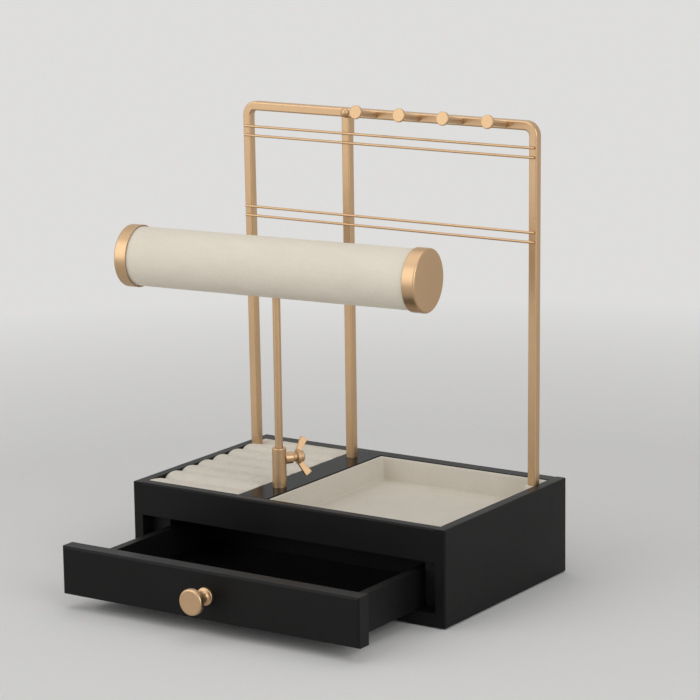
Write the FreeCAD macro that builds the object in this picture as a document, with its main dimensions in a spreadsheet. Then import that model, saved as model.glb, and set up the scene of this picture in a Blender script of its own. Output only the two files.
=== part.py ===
"""Jewellery stand: a black case with two velvet trays and a drawer, a square-tube frame and a bracelet bar."""
import FreeCAD, Part
import os
import re
import Sketcher

doc = FreeCAD.newDocument("JewelleryStand")
sheet = doc.addObject("Spreadsheet::Sheet", "sizes")

# Driving dimensions in millimetres and degrees. X is the width, Y runs from front to back, Z is up.
SIZES = [
    # The case
    ("case_width", 280, "outside width of the case"),
    ("case_depth", 176, "outside depth of the case"),
    ("case_height", 73, "height of the side panels"),
    ("felt_thick", 1, "felt under the case"),
    ("felt_inset", 7, "felt edge inside the case edge"),
    ("wall", 8.5, "thickness of side panels and front rail"),
    ("back_thick", 12, "thickness of the back panel"),
    ("board_thick", 9.5, "thickness of the bottom board"),
    ("opening_height", 37.9, "height of the drawer opening"),
    ("floor_thick", 4, "thickness of the tray floor"),
    ("floor_tongue", 3, "depth of the floor's edge in a side groove"),
    ("groove_play", 0.1, "play round the tray floor's edge in its groove"),
    ("divider_width", 26.5, "width of the block between the trays"),
    ("ring_tray_width", 84.5, "inside width of the ring tray"),
    ("guide_width", 16.5, "width of a drawer guide"),
    ("guide_setback", 12.9, "guide's front end behind the case front"),
    ("edge_round", 1.4, "rounding of the case's outer edges"),
    ("lip_round", 0.5, "rounding of the inner lips"),
    # The soft trays
    ("soft_gap", 0.3, "gap between a soft piece and its neighbour"),
    ("roll_count", 6, "rolls across the ring pad"),
    ("roll_rise", 4.5, "height of a ring roll above its valley"),
    ("pad_proud", 0.4, "ring rolls' top above the case top"),
    ("strip_depth", 19.6, "depth of the strip in front of the rolls"),
    ("strip_back", 13.5, "depth of the strip behind the rolls"),
    ("strip_fall", 11, "run over which a strip curves down to its slot"),
    ("strip_proud", 0.1, "strips' top above the case top"),
    ("liner_thick", 1.6, "wall of the tray liner"),
    ("liner_floor", 2, "floor of the tray liner"),
    ("liner_drop", 0.4, "liner's edge below the case top"),
    ("liner_corner", 3, "inside corner radius of the liner"),
    # The drawer
    ("drawer_out", 99, "how far the drawer stands open"),
    ("front_thick", 12.5, "thickness of the drawer front"),
    ("front_gap", 0.5, "gap round the drawer front"),
    ("front_round", 1.8, "rounding of the drawer front"),
    ("side_gap", 0.6, "gap between a drawer side and its guide"),
    ("run_gap", 0.3, "gap under the drawer sides"),
    ("drawer_side_thick", 7, "thickness of the drawer sides and back"),
    ("drawer_side_height", 29, "height of the drawer sides"),
    ("drawer_back_gap", 2, "gap behind the closed drawer"),
    ("drawer_floor_thick", 3, "thickness of the drawer bottom"),
    ("drawer_floor_lift", 4, "drawer bottom above the sides' lower edge"),
    ("drawer_tongue", 3, "depth of the drawer bottom's grooves"),
    # The knob
    ("knob_length", 19.5, "knob from the drawer front to its face"),
    ("knob_dia", 19.6, "knob head diameter"),
    ("knob_flange_dia", 13.5, "knob foot diameter"),
    ("knob_neck_dia", 7.4, "knob neck diameter"),
    ("knob_flange_thick", 2.4, "thickness of the knob's foot"),
    ("knob_head_thick", 5.2, "thickness of the knob's head"),
    ("knob_screw_dia", 4, "knob screw diameter"),
    ("knob_screw_grip", 9, "knob screw's length inside the knob"),
    # The frame
    ("tube_size", 7, "width of the square tube"),
    ("tube_wall", 0.9, "wall of the square tube"),
    ("tube_corner", 1.2, "corner radius of the square tube"),
    ("bend_radius", 7.5, "bend radius at the tube's centre line"),
    ("frame_top", 350, "height of the frame above the table"),
    ("frame_back_gap", 13, "gap between the frame and the back panel"),
    ("frame_side_gap", 0.4, "gap between a post and the case wall"),
    ("hoop_splay", 0.35, "outward lean of the hoop's legs in degrees"),
    ("middle_post_inset", 6.8, "middle post's left face from the divider's left face"),
    ("tab_thick", 2.5, "thickness of the middle post's tab"),
    ("tab_height", 19, "height of the middle post's tab"),
    ("tab_clear", 1, "top of the tab below the frame top"),
    ("insert_length", 10, "length of a threaded insert"),
    ("insert_play", 0.1, "play of an insert in its tube"),
    ("screw_dia", 4, "frame screw diameter"),
    ("screw_play", 0.1, "play of a screw in its hole, each side"),
    ("screw_grip", 8, "screw's length inside an insert"),
    ("screw_head_dia", 7.5, "frame screw head diameter"),
    ("screw_head_thick", 2.4, "frame screw head thickness"),
    ("head_room", 1, "room round a screw head in a drawer guide"),
    ("dome_dia", 7.4, "dome head diameter of the post screw"),
    ("dome_rise", 3.2, "dome head height of the post screw"),
    ("post_screw_dia", 3, "post screw diameter"),
    ("weld_gap", 0.05, "gap that a weld bead fills"),
    # The wires and hooks
    ("wire_dia", 2, "diameter of a cross wire"),
    ("wire_overhang", 0.2, "wire end beyond the foot of a post"),
    ("upper_wire_drop", 19.4, "highest wire below the frame top"),
    ("lower_wire_drop", 82.8, "third wire below the frame top"),
    ("wire_spacing", 7.2, "distance between the two wires of a pair"),
    ("hook_first", 27.6, "first hook from the middle post"),
    ("hook_last", 21.2, "last hook from the right post"),
    ("hook_tilt", 11, "upward tilt of a hook in degrees"),
    ("hook_reach", 28, "length of a hook"),
    ("hook_dia", 4.6, "diameter of a hook's peg"),
    ("hook_disc_dia", 10.5, "diameter of a hook's disc"),
    ("hook_disc_thick", 2.2, "thickness of a hook's disc"),
    ("hook_round", 0.6, "rounding of a hook's disc"),
    # The bracelet bar
    ("sleeve_setback", 43.8, "sleeve's axis behind the case front"),
    ("sleeve_dia", 10.7, "outside diameter of the sleeve"),
    ("sleeve_height", 30.2, "sleeve's height above the case top"),
    ("sleeve_plug", 5.6, "solid lower end of the sleeve"),
    ("sleeve_play", 0.15, "play of the sleeve in the divider, each side"),
    ("sleeve_round", 0.7, "rounding at the sleeve's mouth"),
    ("rod_dia", 6, "diameter of the rod"),
    ("rod_play", 0.05, "play of the rod in its bore, each side"),
    ("rod_grip", 24, "rod's length inside the sleeve"),
    ("roll_height", 242.3, "height of the bracelet roll's axis"),
    ("roll_yaw", 4.9, "turn of the roll from the case's width in degrees"),
    ("roll_length", 257, "length of the roll over its caps"),
    ("roll_dia", 45.8, "diameter over the velvet"),
    ("velvet_thick", 1, "thickness of the velvet cover"),
    ("velvet_play", 0.1, "play between the cover and the core"),
    ("core_wall", 2.5, "wall of the cardboard core"),
    ("cap_dia", 47.9, "outside diameter of an end cap"),
    ("cap_rim", 10.5, "length of an end cap"),
    ("cap_wall", 0.8, "wall of an end cap"),
    ("cap_round", 1.6, "rounding of an end cap's face"),
    ("hub_length", 36, "length of the hub inside the core"),
    ("hub_play", 0.15, "play of the hub in the core"),
    ("hub_roof", 8, "rod's end above the roll's axis"),
    ("rod_end_gap", 0.3, "gap over the rod's end"),
    ("rod_hole_play", 0.4, "play of the rod in the core and cover, each side"),
    # The wing screw
    ("clamp_yaw", 57, "turn of the clamp boss from the case's width in degrees"),
    ("clamp_roll", -18, "turn of the wing screw about its own axis in degrees"),
    ("boss_drop", 8.7, "clamp boss's axis below the sleeve's mouth"),
    ("boss_dia", 9, "diameter of the clamp boss"),
    ("boss_reach", 10.7, "boss's end from the sleeve's axis"),
    ("clamp_dia", 4, "wing screw's thread diameter"),
    ("clamp_play", 0.08, "play of the wing screw in its boss, each side"),
    ("clamp_tip_gap", 0.1, "gap between the wing screw and the rod"),
    ("clamp_neck_dia", 6.6, "neck of the wing screw"),
    ("clamp_neck_length", 3.1, "neck between the boss and the collar"),
    ("collar_dia", 11, "collar of the wing screw"),
    ("collar_thick", 3, "thickness of the collar"),
    ("collar_round", 0.8, "rounding of the collar's rim"),
    ("hub_dia", 8.6, "hub of the wing screw"),
    ("hub_height", 3.2, "height of the wing screw's hub"),
    ("hub_round", 1.6, "rounding of the hub's crown"),
    ("wing_half", 13.8, "wing tip's middle from the wing screw's axis"),
    ("wing_out", 8.3, "wing tip's middle beyond the collar's near face"),
    ("wing_lean", 33, "lean of a wing away from the sleeve in degrees"),
    ("wing_thick", 2.4, "thickness of a wing"),
    ("wing_tip", 5.8, "width of a wing at its tip"),
    ("wing_root", 3.2, "width of a wing at its root"),
    ("wing_foot", 3, "wing root's middle from the wing screw's axis"),
    ("wing_round", 0.9, "rounding of a wing's corners"),
]

# Places worked out from the driving dimensions. Each name may stand in another expression.
PLACES = {
    "case_top": "felt_thick + case_height",
    "half_width": "case_width / 2",
    "front_y": "0 - case_depth / 2",
    "inner_half": "half_width - wall",
    "board_top": "felt_thick + board_thick",
    "rail_bottom": "board_top + opening_height",
    "tray_floor_top": "rail_bottom + floor_thick",
    "tray_deep": "case_top - tray_floor_top",
    "inner_front": "front_y + wall",
    "inner_depth": "case_depth - wall - back_thick",
    "divider_left": "0 - inner_half + ring_tray_width",
    "divider_right": "divider_left + divider_width",
    "divider_middle": "divider_left + divider_width / 2",
    "big_tray_width": "inner_half - divider_right",
    "guide_inner": "inner_half - guide_width",
    "guide_length": "case_depth - guide_setback - back_thick",
    "drawer_y": "front_y - drawer_out",
    "front_width": "2 * (inner_half - front_gap)",
    "front_height": "opening_height - 2 * front_gap",
    "box_half": "guide_inner - side_gap",
    "box_base": "board_top + run_gap",
    "box_length": "case_depth - back_thick - front_thick - drawer_back_gap",
    "drawer_floor_z": "box_base + drawer_floor_lift",
    "drawer_inner_half": "box_half - drawer_side_thick",
    "knob_z": "board_top + front_gap + front_height / 2",
    "frame_y": "front_y + case_depth - back_thick - frame_back_gap - tube_size",
    "frame_middle_y": "frame_y + tube_size / 2",
    "frame_half": "inner_half - frame_side_gap",
    "post_x": "frame_half - tube_size / 2",
    "middle_post_x": "divider_left + middle_post_inset + tube_size / 2",
    "bar_z": "frame_top - tube_size / 2",
    "tube_bore": "tube_size - 2 * tube_wall",
    "sleeve_y": "front_y + sleeve_setback",
    "sleeve_total": "tray_deep + sleeve_height",
    "sleeve_top": "case_top + sleeve_height",
    "rod_bore": "rod_dia + 2 * rod_play",
    "rod_length": "rod_grip + roll_height + hub_roof - sleeve_top",
    "boss_z": "sleeve_total - boss_drop",
    "core_dia": "roll_dia - 2 * (velvet_thick + velvet_play)",
    "core_bore": "core_dia - 2 * core_wall",
    "cap_bore": "cap_dia - 2 * cap_wall",
    "velvet_length": "roll_length - 2 * cap_wall - 2 * soft_gap",
    "pad_depth": "inner_depth - 2 * soft_gap",
    "roll_pitch": "(pad_depth - strip_depth - strip_back) / roll_count",
    "roll_arc": "roll_pitch * roll_pitch / (8 * roll_rise) + roll_rise / 2",
    "strip_rise": "roll_rise + strip_proud - pad_proud",
    "strip_arc": "(strip_fall * strip_fall + strip_rise * strip_rise) / (2 * strip_rise)",
    "notch": "tube_size + 2 * soft_gap",
    "hoop_height": "bar_z - tray_floor_top - weld_gap",
    "splay": "hoop_splay * 1 deg",
    "bend_side": "(bend_radius - (hoop_height - bend_radius) * sin(splay)) / cos(splay)",
    "hook_pitch": "(post_x - middle_post_x - hook_first - hook_last) / 3",
    "clamp_seat": "boss_reach + clamp_play",
    "collar_face": "clamp_seat + clamp_neck_length",
    "collar_back": "collar_face + collar_thick",
    "hub_crown": "collar_back + hub_height",
}

for row, (alias, size, meaning) in enumerate(SIZES, start=1):
    sheet.set(f"A{row}", meaning)
    sheet.set(f"B{row}", str(size))
    sheet.setAlias(f"B{row}", alias)
doc.recompute()

ALIASES = {alias for alias, size, meaning in SIZES}
parts = []


# ---- Expressions ----

def full(expression):
    """The expression with every place spelled out and every size read from the sheet."""
    def spell(match):
        word = match.group(0)
        if word in PLACES:
            return "(" + full(PLACES[word]) + ")"
        return "sizes." + word if word in ALIASES else word
    return re.sub(r"[a-z_][a-z_0-9]*", spell, str(expression))


def number(expression):
    """The expression's value now."""
    result = reader.evalExpression(full(expression))
    return float(getattr(result, "Value", result))


def bind(thing, property_name, expression):
    thing.setExpression(property_name, full(expression))


reader = doc.addObject("App::FeaturePython", "reader")


# ---- Bodies and sketches ----

def keep(thing, label, x="0", y="0", z="0"):
    """Names a finished sub-part and puts its own origin at x, y, z."""
    thing.Label = label
    for axis, expression in zip("xyz", (x, y, z)):
        bind(thing, f"Placement.Base.{axis}", expression)
    parts.append(thing)
    return thing


def new_body(label, x="0", y="0", z="0"):
    return keep(doc.addObject("PartDesign::Body", label), label, x, y, z)


def turn(body, axis, angle):
    """Turns a body about its own origin; the axis is an (x, y, z) direction."""
    position = body.Placement.Base
    body.Placement = FreeCAD.Placement(position, FreeCAD.Rotation(FreeCAD.Vector(*axis), 1))
    bind(body, "Placement.Rotation.Angle", f"({angle}) * 1 deg")


def new_sketch(body, name, plane, offset=None):
    sketch = body.newObject("Sketcher::SketchObject", f"{body.Name}_{name}")
    base = next(item for item in body.Origin.OriginFeatures if item.Role == plane)
    sketch.AttachmentSupport = [(base, "")]
    sketch.MapMode = "FlatFace"
    if offset is not None:
        bind(sketch, "AttachmentOffset.Base.z", offset)
    return sketch


def place_point(sketch, geometry, end, x, y):
    """Fixes one point of a sketch at the expressions x and y, measured from the sketch's origin."""
    for kind, axis, expression in (("DistanceX", -2, x), ("DistanceY", -1, y)):
        if expression == "0":
            sketch.addConstraint(Sketcher.Constraint("PointOnObject", geometry, end, axis))
            continue
        size = number(expression)
        index = sketch.addConstraint(Sketcher.Constraint(kind, -1, 1, geometry, end, size))
        bind(sketch, f"Constraints[{index}]", expression)


def outline(sketch, points):
    """Closed or open outline. A point is (x, y), or (x, y, radius, turn) where an arc follows it.

    A positive turn runs anticlockwise, a negative one clockwise; the arc is the shorter one.
    The last point joins the first.
    """
    corners = [FreeCAD.Vector(number(point[0]), number(point[1]), 0) for point in points]
    first = sketch.GeometryCount
    starts, ends = [], []
    for index, point in enumerate(points):
        here = corners[index]
        there = corners[(index + 1) % len(points)]
        if len(point) == 2:
            sketch.addGeometry(Part.LineSegment(here, there))
            starts.append(1)
            ends.append(2)
            continue
        arc = arc_between(here, there, number(point[2]), point[3])
        geometry = sketch.addGeometry(arc)
        starts.append(1 if point[3] > 0 else 2)
        ends.append(2 if point[3] > 0 else 1)
        radius = sketch.addConstraint(Sketcher.Constraint("Radius", geometry, number(point[2])))
        bind(sketch, f"Constraints[{radius}]", point[2])
    for index in range(len(points)):
        after = (index + 1) % len(points)
        link = Sketcher.Constraint("Coincident", first + index, ends[index], first + after, starts[after])
        sketch.addConstraint(link)
    for index, point in enumerate(points):
        place_point(sketch, first + index, starts[index], point[0], point[1])


def arc_between(start, end, radius, turn_sign):
    """The shorter arc from start to end; it is stored anticlockwise, as sketches need."""
    if turn_sign < 0:
        start, end = end, start
    chord = end - start
    half = chord.Length / 2
    side = FreeCAD.Vector(-chord.y, chord.x, 0).normalize()
    rise = max(radius * radius - half * half, 0) ** 0.5
    centre = (start + end) * 0.5 + side * rise
    axis = FreeCAD.Vector(0, 0, 1)
    circle = Part.Circle(centre, axis, radius)
    return Part.ArcOfCircle(circle, circle.parameter(start), circle.parameter(end))


def rectangle(sketch, x, y, width, height):
    """Rectangle from its lower-left corner."""
    outline(sketch, [(x, y), (f"{x} + {width}", y), (f"{x} + {width}", f"{y} + {height}"),
                     (x, f"{y} + {height}")])


def centred_square(sketch, size, corner, x="0", y="0"):
    """Square with rounded corners about the point x, y."""
    far = f"({size}) / 2"
    near = f"({size}) / 2 - ({corner})"
    points = [(near, f"0 - {far}", corner, 1), (far, f"0 - ({near})"),
              (far, near, corner, 1), (near, far),
              (f"0 - ({near})", far, corner, 1), (f"0 - {far}", near),
              (f"0 - {far}", f"0 - ({near})", corner, 1), (f"0 - ({near})", f"0 - {far}")]
    moved = [(f"{x} + {point[0]}", f"{y} + {point[1]}") + tuple(point[2:]) for point in points]
    outline(sketch, moved)


def circle(sketch, x, y, diameter):
    centre = FreeCAD.Vector(number(x), number(y), 0)
    geometry = sketch.addGeometry(Part.Circle(centre, FreeCAD.Vector(0, 0, 1), number(diameter) / 2))
    index = sketch.addConstraint(Sketcher.Constraint("Diameter", geometry, number(diameter)))
    bind(sketch, f"Constraints[{index}]", diameter)
    place_point(sketch, geometry, 3, x, y)


# ---- Features ----

def pad(body, sketch, length, reverse=False):
    feature = body.newObject("PartDesign::Pad", sketch.Name + "_pad")
    feature.Profile = sketch
    bind(feature, "Length", length)
    feature.Reversed = reverse
    doc.recompute()
    return feature


def pocket(body, sketch, length, reverse=False):
    """Cuts the sketch away and makes sure that it removed something."""
    before = body.Tip.Shape.Volume
    feature = body.newObject("PartDesign::Pocket", sketch.Name + "_pocket")
    feature.Profile = sketch
    bind(feature, "Length", length)
    feature.Reversed = reverse
    doc.recompute()
    if not feature.Shape.Volume < before:
        raise RuntimeError(f"{feature.Name} cuts nothing")
    return feature


def revolve(body, sketch, axis="V_Axis"):
    feature = body.newObject("PartDesign::Revolution", sketch.Name + "_revolve")
    feature.Profile = sketch
    feature.ReferenceAxis = (sketch, [axis])
    feature.Angle = 360
    doc.recompute()
    return feature


def fillet(body, radius, chosen, kind="Fillet"):
    """Rounds or bevels the edges of the body's tip for which chosen(edge) is true."""
    tip = body.Tip
    names = [f"Edge{index}" for index, edge in enumerate(tip.Shape.Edges, start=1) if chosen(edge)]
    if not names:
        raise RuntimeError(f"{body.Name} has no such edge")
    feature = body.newObject(f"PartDesign::{kind}", f"{body.Name}_{kind}_{len(body.Group)}")
    feature.Base = (tip, names)
    bind(feature, "Radius" if kind == "Fillet" else "Size", radius)
    doc.recompute()
    return feature


def edge_along(axis, **places):
    """Test for straight edges along an axis at given places, such as edge_along("z", x="0")."""
    fixed = {name: number(expression) for name, expression in places.items()}

    def test(edge):
        box = edge.BoundBox
        spans = {"x": box.XLength, "y": box.YLength, "z": box.ZLength}
        middle = {"x": box.Center.x, "y": box.Center.y, "z": box.Center.z}
        straight = all(spans[name] < 0.001 for name in "xyz" if name != axis) and spans[axis] > 0.001
        return straight and all(abs(middle[name] - fixed[name]) < 0.001 for name in fixed)
    return test


def any_of(*tests):
    return lambda edge: any(test(edge) for test in tests)


def plate(label, corner, size):
    """Rectangular board: corner and size are (x, y, z) expressions."""
    body = new_body(label, *corner)
    sketch = new_sketch(body, "outline", "XY_Plane")
    rectangle(sketch, "0", "0", size[0], size[1])
    pad(body, sketch, size[2])
    return body


# ---- The case ----

def side_panel(label, side):
    """Side board with a groove for the tray floor; side is -1 for left and 1 for right."""
    x = "0 - half_width" if side < 0 else "half_width - wall"
    body = plate(label, (x, "front_y", "felt_thick"), ("wall", "case_depth", "case_height"))
    inner = "wall - floor_tongue" if side < 0 else "0"
    outer = "0" if side < 0 else "wall"
    groove = new_sketch(body, "groove", "XZ_Plane", "0 - wall")
    rectangle(groove, inner, "rail_bottom - felt_thick - groove_play", "floor_tongue",
              "floor_thick + 2 * groove_play")
    pocket(body, groove, "inner_depth")
    fillet(body, "edge_round", any_of(
        edge_along("z", x=outer, y="0"), edge_along("z", x=outer, y="case_depth"),
        edge_along("y", x=outer, z="case_height")))
    return body


def back_panel():
    body = plate("back_panel", ("0 - inner_half", "front_y + case_depth - back_thick", "felt_thick"),
                 ("2 * inner_half", "back_thick", "case_height"))
    fillet(body, "edge_round", edge_along("x", y="back_thick", z="case_height"))
    fillet(body, "lip_round", edge_along("x", y="0", z="case_height"))
    return body


def front_rail():
    body = plate("front_rail", ("0 - inner_half", "front_y", "rail_bottom"),
                 ("2 * inner_half", "wall", "case_top - rail_bottom"))
    fillet(body, "edge_round", edge_along("x", y="0", z="case_top - rail_bottom"))
    fillet(body, "lip_round", any_of(edge_along("x", y="wall", z="case_top - rail_bottom"),
                                     edge_along("x", y="0", z="0")))
    return body


def bottom_board():
    body = plate("bottom_board", ("0 - inner_half", "front_y", "felt_thick"),
                 ("2 * inner_half", "case_depth - back_thick", "board_thick"))
    fillet(body, "lip_round", edge_along("x", y="0", z="board_thick"))
    return body


def base_felt():
    body = plate("base_felt", ("0 - half_width + felt_inset", "front_y + felt_inset", "0"),
                 ("case_width - 2 * felt_inset", "case_depth - 2 * felt_inset", "felt_thick"))
    return body


def tray_floor():
    """Thin board in the side grooves, with four holes for the screws that hold the frame and sleeve."""
    reach = "(inner_half + floor_tongue - groove_play)"
    body = plate("tray_floor", (f"0 - {reach}", "inner_front", "rail_bottom"),
                 (f"2 * {reach}", "inner_depth", "floor_thick"))
    holes = new_sketch(body, "holes", "XY_Plane")
    for x, y in SCREW_PLACES:
        circle(holes, f"{x} + {reach}", f"{y} - inner_front", "screw_dia + 2 * screw_play")
    pocket(body, holes, "floor_thick", reverse=True)
    return body


def tray_divider():
    """Block between the trays, bored for the sleeve and for the middle post's screw."""
    body = plate("tray_divider", ("divider_left", "inner_front", "tray_floor_top"),
                 ("divider_width", "inner_depth", "tray_deep"))
    holes = new_sketch(body, "holes", "XY_Plane")
    circle(holes, "divider_width / 2", "sleeve_y - inner_front", "sleeve_dia + 2 * sleeve_play")
    circle(holes, "middle_post_x - divider_left", "frame_middle_y - inner_front",
           "screw_dia + 2 * screw_play")
    pocket(body, holes, "tray_deep", reverse=True)
    fillet(body, "lip_round", any_of(edge_along("y", x="0", z="tray_deep"),
                                     edge_along("y", x="divider_width", z="tray_deep")))
    return body


def drawer_guide(label, side):
    x = "0 - inner_half" if side < 0 else "guide_inner"
    body = plate(label, (x, "front_y + guide_setback", "board_top"),
                 ("guide_width", "guide_length", "opening_height"))
    room = new_sketch(body, "screw_room", "XY_Plane", "opening_height")
    reach = "(guide_width - inner_half + post_x - screw_head_dia / 2 - head_room)"
    rectangle(room, "0" if side < 0 else reach,
              "frame_middle_y - front_y - guide_setback - screw_head_dia / 2 - head_room",
              f"guide_width - {reach}", "screw_head_dia + 2 * head_room")
    pocket(body, room, "screw_head_thick + head_room")
    inner = "guide_width" if side < 0 else "0"
    fillet(body, "lip_round", edge_along("z", x=inner, y="0"))
    return body


def ring_pad():
    """Foam pad: rolls along X between two strips that curve down to them, and a notch for the left post."""
    body = new_body("ring_pad", "0 - inner_half + soft_gap", "inner_front + soft_gap", "tray_floor_top")
    profile = new_sketch(body, "rolls", "YZ_Plane")
    valley = "tray_deep + pad_proud - roll_rise"
    level = "tray_deep + strip_proud"
    points = [("0", "0"), ("pad_depth", "0"), ("pad_depth", level),
              ("pad_depth - strip_back + strip_fall", level, "strip_arc", 1)]
    rolls = round(number("roll_count"))
    for index in range(rolls, 0, -1):
        points.append((f"strip_depth + {index} * roll_pitch", valley, "roll_arc", 1))
    points.extend([("strip_depth", valley, "strip_arc", 1), ("strip_depth - strip_fall", level), ("0", level)])
    outline(profile, points)
    pad(body, profile, "ring_tray_width - 2 * soft_gap")
    notch = new_sketch(body, "notch", "XY_Plane")
    rectangle(notch, "0", "frame_y - inner_front - 2 * soft_gap", "frame_side_gap + tube_size", "notch")
    pocket(body, notch, "tray_deep + pad_proud", reverse=True)
    return body


def tray_liner():
    """Open velvet tray inside the right compartment; a notch lets the right post through."""
    body = new_body("tray_liner", "divider_right + soft_gap", "inner_front + soft_gap", "tray_floor_top")
    block = new_sketch(body, "block", "XY_Plane")
    width = "(big_tray_width - 2 * soft_gap)"
    depth = "(inner_depth - 2 * soft_gap)"
    rectangle(block, "0", "0", width, depth)
    pad(body, block, "tray_deep - liner_drop")
    hollow = new_sketch(body, "hollow", "XY_Plane", "liner_floor")
    rectangle(hollow, "liner_thick", "liner_thick", f"{width} - 2 * liner_thick", f"{depth} - 2 * liner_thick")
    pocket(body, hollow, "tray_deep", reverse=True)
    near, far_x, far_y = "liner_thick", f"{width} - liner_thick", f"{depth} - liner_thick"
    fillet(body, "liner_corner", any_of(
        edge_along("z", x=near, y=near), edge_along("z", x=far_x, y=near),
        edge_along("z", x=near, y=far_y), edge_along("z", x=far_x, y=far_y)))
    notch = new_sketch(body, "notch", "XY_Plane")
    rectangle(notch, f"{width} - tube_size - frame_side_gap", "frame_y - inner_front - 2 * soft_gap",
              "tube_size + frame_side_gap", "notch")
    pocket(body, notch, "tray_deep", reverse=True)
    return body


# ---- The drawer ----

def drawer_front():
    """Front board with a groove for the bottom and a hole for the knob's screw."""
    body = plate("drawer_front", ("0 - front_width / 2", "drawer_y", "board_top + front_gap"),
                 ("front_width", "front_thick", "front_height"))
    groove = new_sketch(body, "groove", "XY_Plane", "drawer_floor_z - board_top - front_gap")
    rectangle(groove, "front_width / 2 - drawer_inner_half", "front_thick - drawer_tongue",
              "2 * drawer_inner_half", "drawer_tongue")
    pocket(body, groove, "drawer_floor_thick", reverse=True)
    hole = new_sketch(body, "hole", "XZ_Plane", "0 - front_thick")
    circle(hole, "front_width / 2", "knob_z - board_top - front_gap", "knob_screw_dia + 2 * screw_play")
    pocket(body, hole, "front_thick", reverse=True)
    ends = any_of(*(edge_along("z", x=x, y="0") for x in ("0", "front_width")))
    rims = any_of(*(edge_along("x", y="0", z=z) for z in ("0", "front_height")))
    fillet(body, "front_round", any_of(ends, rims))
    return body


def drawer_side(label, side):
    x = "0 - box_half" if side < 0 else "drawer_inner_half"
    body = plate(label, (x, "drawer_y + front_thick", "box_base"),
                 ("drawer_side_thick", "box_length", "drawer_side_height"))
    inner = "drawer_side_thick - drawer_tongue" if side < 0 else "0"
    groove = new_sketch(body, "groove", "XZ_Plane")
    rectangle(groove, inner, "drawer_floor_lift", "drawer_tongue", "drawer_floor_thick")
    pocket(body, groove, "box_length")
    fillet(body, "lip_round", any_of(edge_along("y", x="0", z="drawer_side_height"),
                                     edge_along("y", x="drawer_side_thick", z="drawer_side_height")))
    return body


def drawer_back():
    body = plate("drawer_back",
                 ("0 - drawer_inner_half", "drawer_y + front_thick + box_length - drawer_side_thick",
                  "drawer_floor_z + drawer_floor_thick"),
                 ("2 * drawer_inner_half", "drawer_side_thick",
                  "drawer_side_height - drawer_floor_lift - drawer_floor_thick"))
    top = "drawer_side_height - drawer_floor_lift - drawer_floor_thick"
    fillet(body, "lip_round", any_of(edge_along("x", y="0", z=top),
                                     edge_along("x", y="drawer_side_thick", z=top)))
    return body


def drawer_bottom():
    """Board in the grooves of the sides, running under the drawer's back."""
    half = "(drawer_inner_half + drawer_tongue - groove_play)"
    body = plate("drawer_bottom", (f"0 - {half}", "drawer_y + front_thick", "drawer_floor_z"),
                 (f"2 * {half}", "box_length", "drawer_floor_thick"))
    tongue = new_sketch(body, "tongue", "XY_Plane")
    rectangle(tongue, f"{half} - drawer_inner_half + groove_play", "groove_play - drawer_tongue",
              "2 * (drawer_inner_half - groove_play)", "drawer_tongue - groove_play")
    pad(body, tongue, "drawer_floor_thick")
    return body


def drawer_knob():
    """Mushroom knob turned in one piece: a flared foot, a waisted neck and a flat-faced head."""
    body = new_body("drawer_knob", "0", "drawer_y", "knob_z")
    turn(body, (1, 0, 0), "90")
    profile = new_sketch(body, "profile", "XZ_Plane")
    foot, head, neck = "knob_flange_dia / 2", "knob_dia / 2", "knob_neck_dia / 2"
    neck_low = "knob_flange_thick + 2.6"
    neck_high = "knob_length - knob_head_thick - 2.2"
    outline(profile, [
        ("0", "0"), (foot, "0"), (foot, "knob_flange_thick - 0.9", "0.9", 1),
        (f"{foot} - 0.9", "knob_flange_thick", "2.9", -1), (neck, neck_low),
        (neck, neck_high, "3.4", -1), (f"{head} - 1.6", "knob_length - knob_head_thick", "1.6", 1),
        (head, "knob_length - knob_head_thick + 1.6"), (head, "knob_length - 1.4", "1.4", 1),
        (f"{head} - 1.4", "knob_length"), ("0", "knob_length")])
    revolve(body, profile)
    bore = new_sketch(body, "bore", "XY_Plane")
    circle(bore, "0", "0", "knob_screw_dia + 2 * screw_play")
    pocket(body, bore, "knob_screw_grip + screw_play", reverse=True)
    return body


def knob_screw():
    """Pan-headed screw from inside the drawer front into the knob."""
    body = new_body("knob_screw", "0", "drawer_y + front_thick", "knob_z")
    turn(body, (1, 0, 0), "90")
    profile = new_sketch(body, "profile", "XZ_Plane")
    rim = "screw_head_dia / 2"
    outline(profile, [
        ("0", "0 - screw_head_thick"), (f"{rim} - 1.2", "0 - screw_head_thick", "1.2", 1),
        (rim, "1.2 - screw_head_thick"), (rim, "0"), ("knob_screw_dia / 2", "0"),
        ("knob_screw_dia / 2", "front_thick + knob_screw_grip"), ("0", "front_thick + knob_screw_grip")])
    revolve(body, profile)
    return body


# ---- The frame ----

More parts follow.
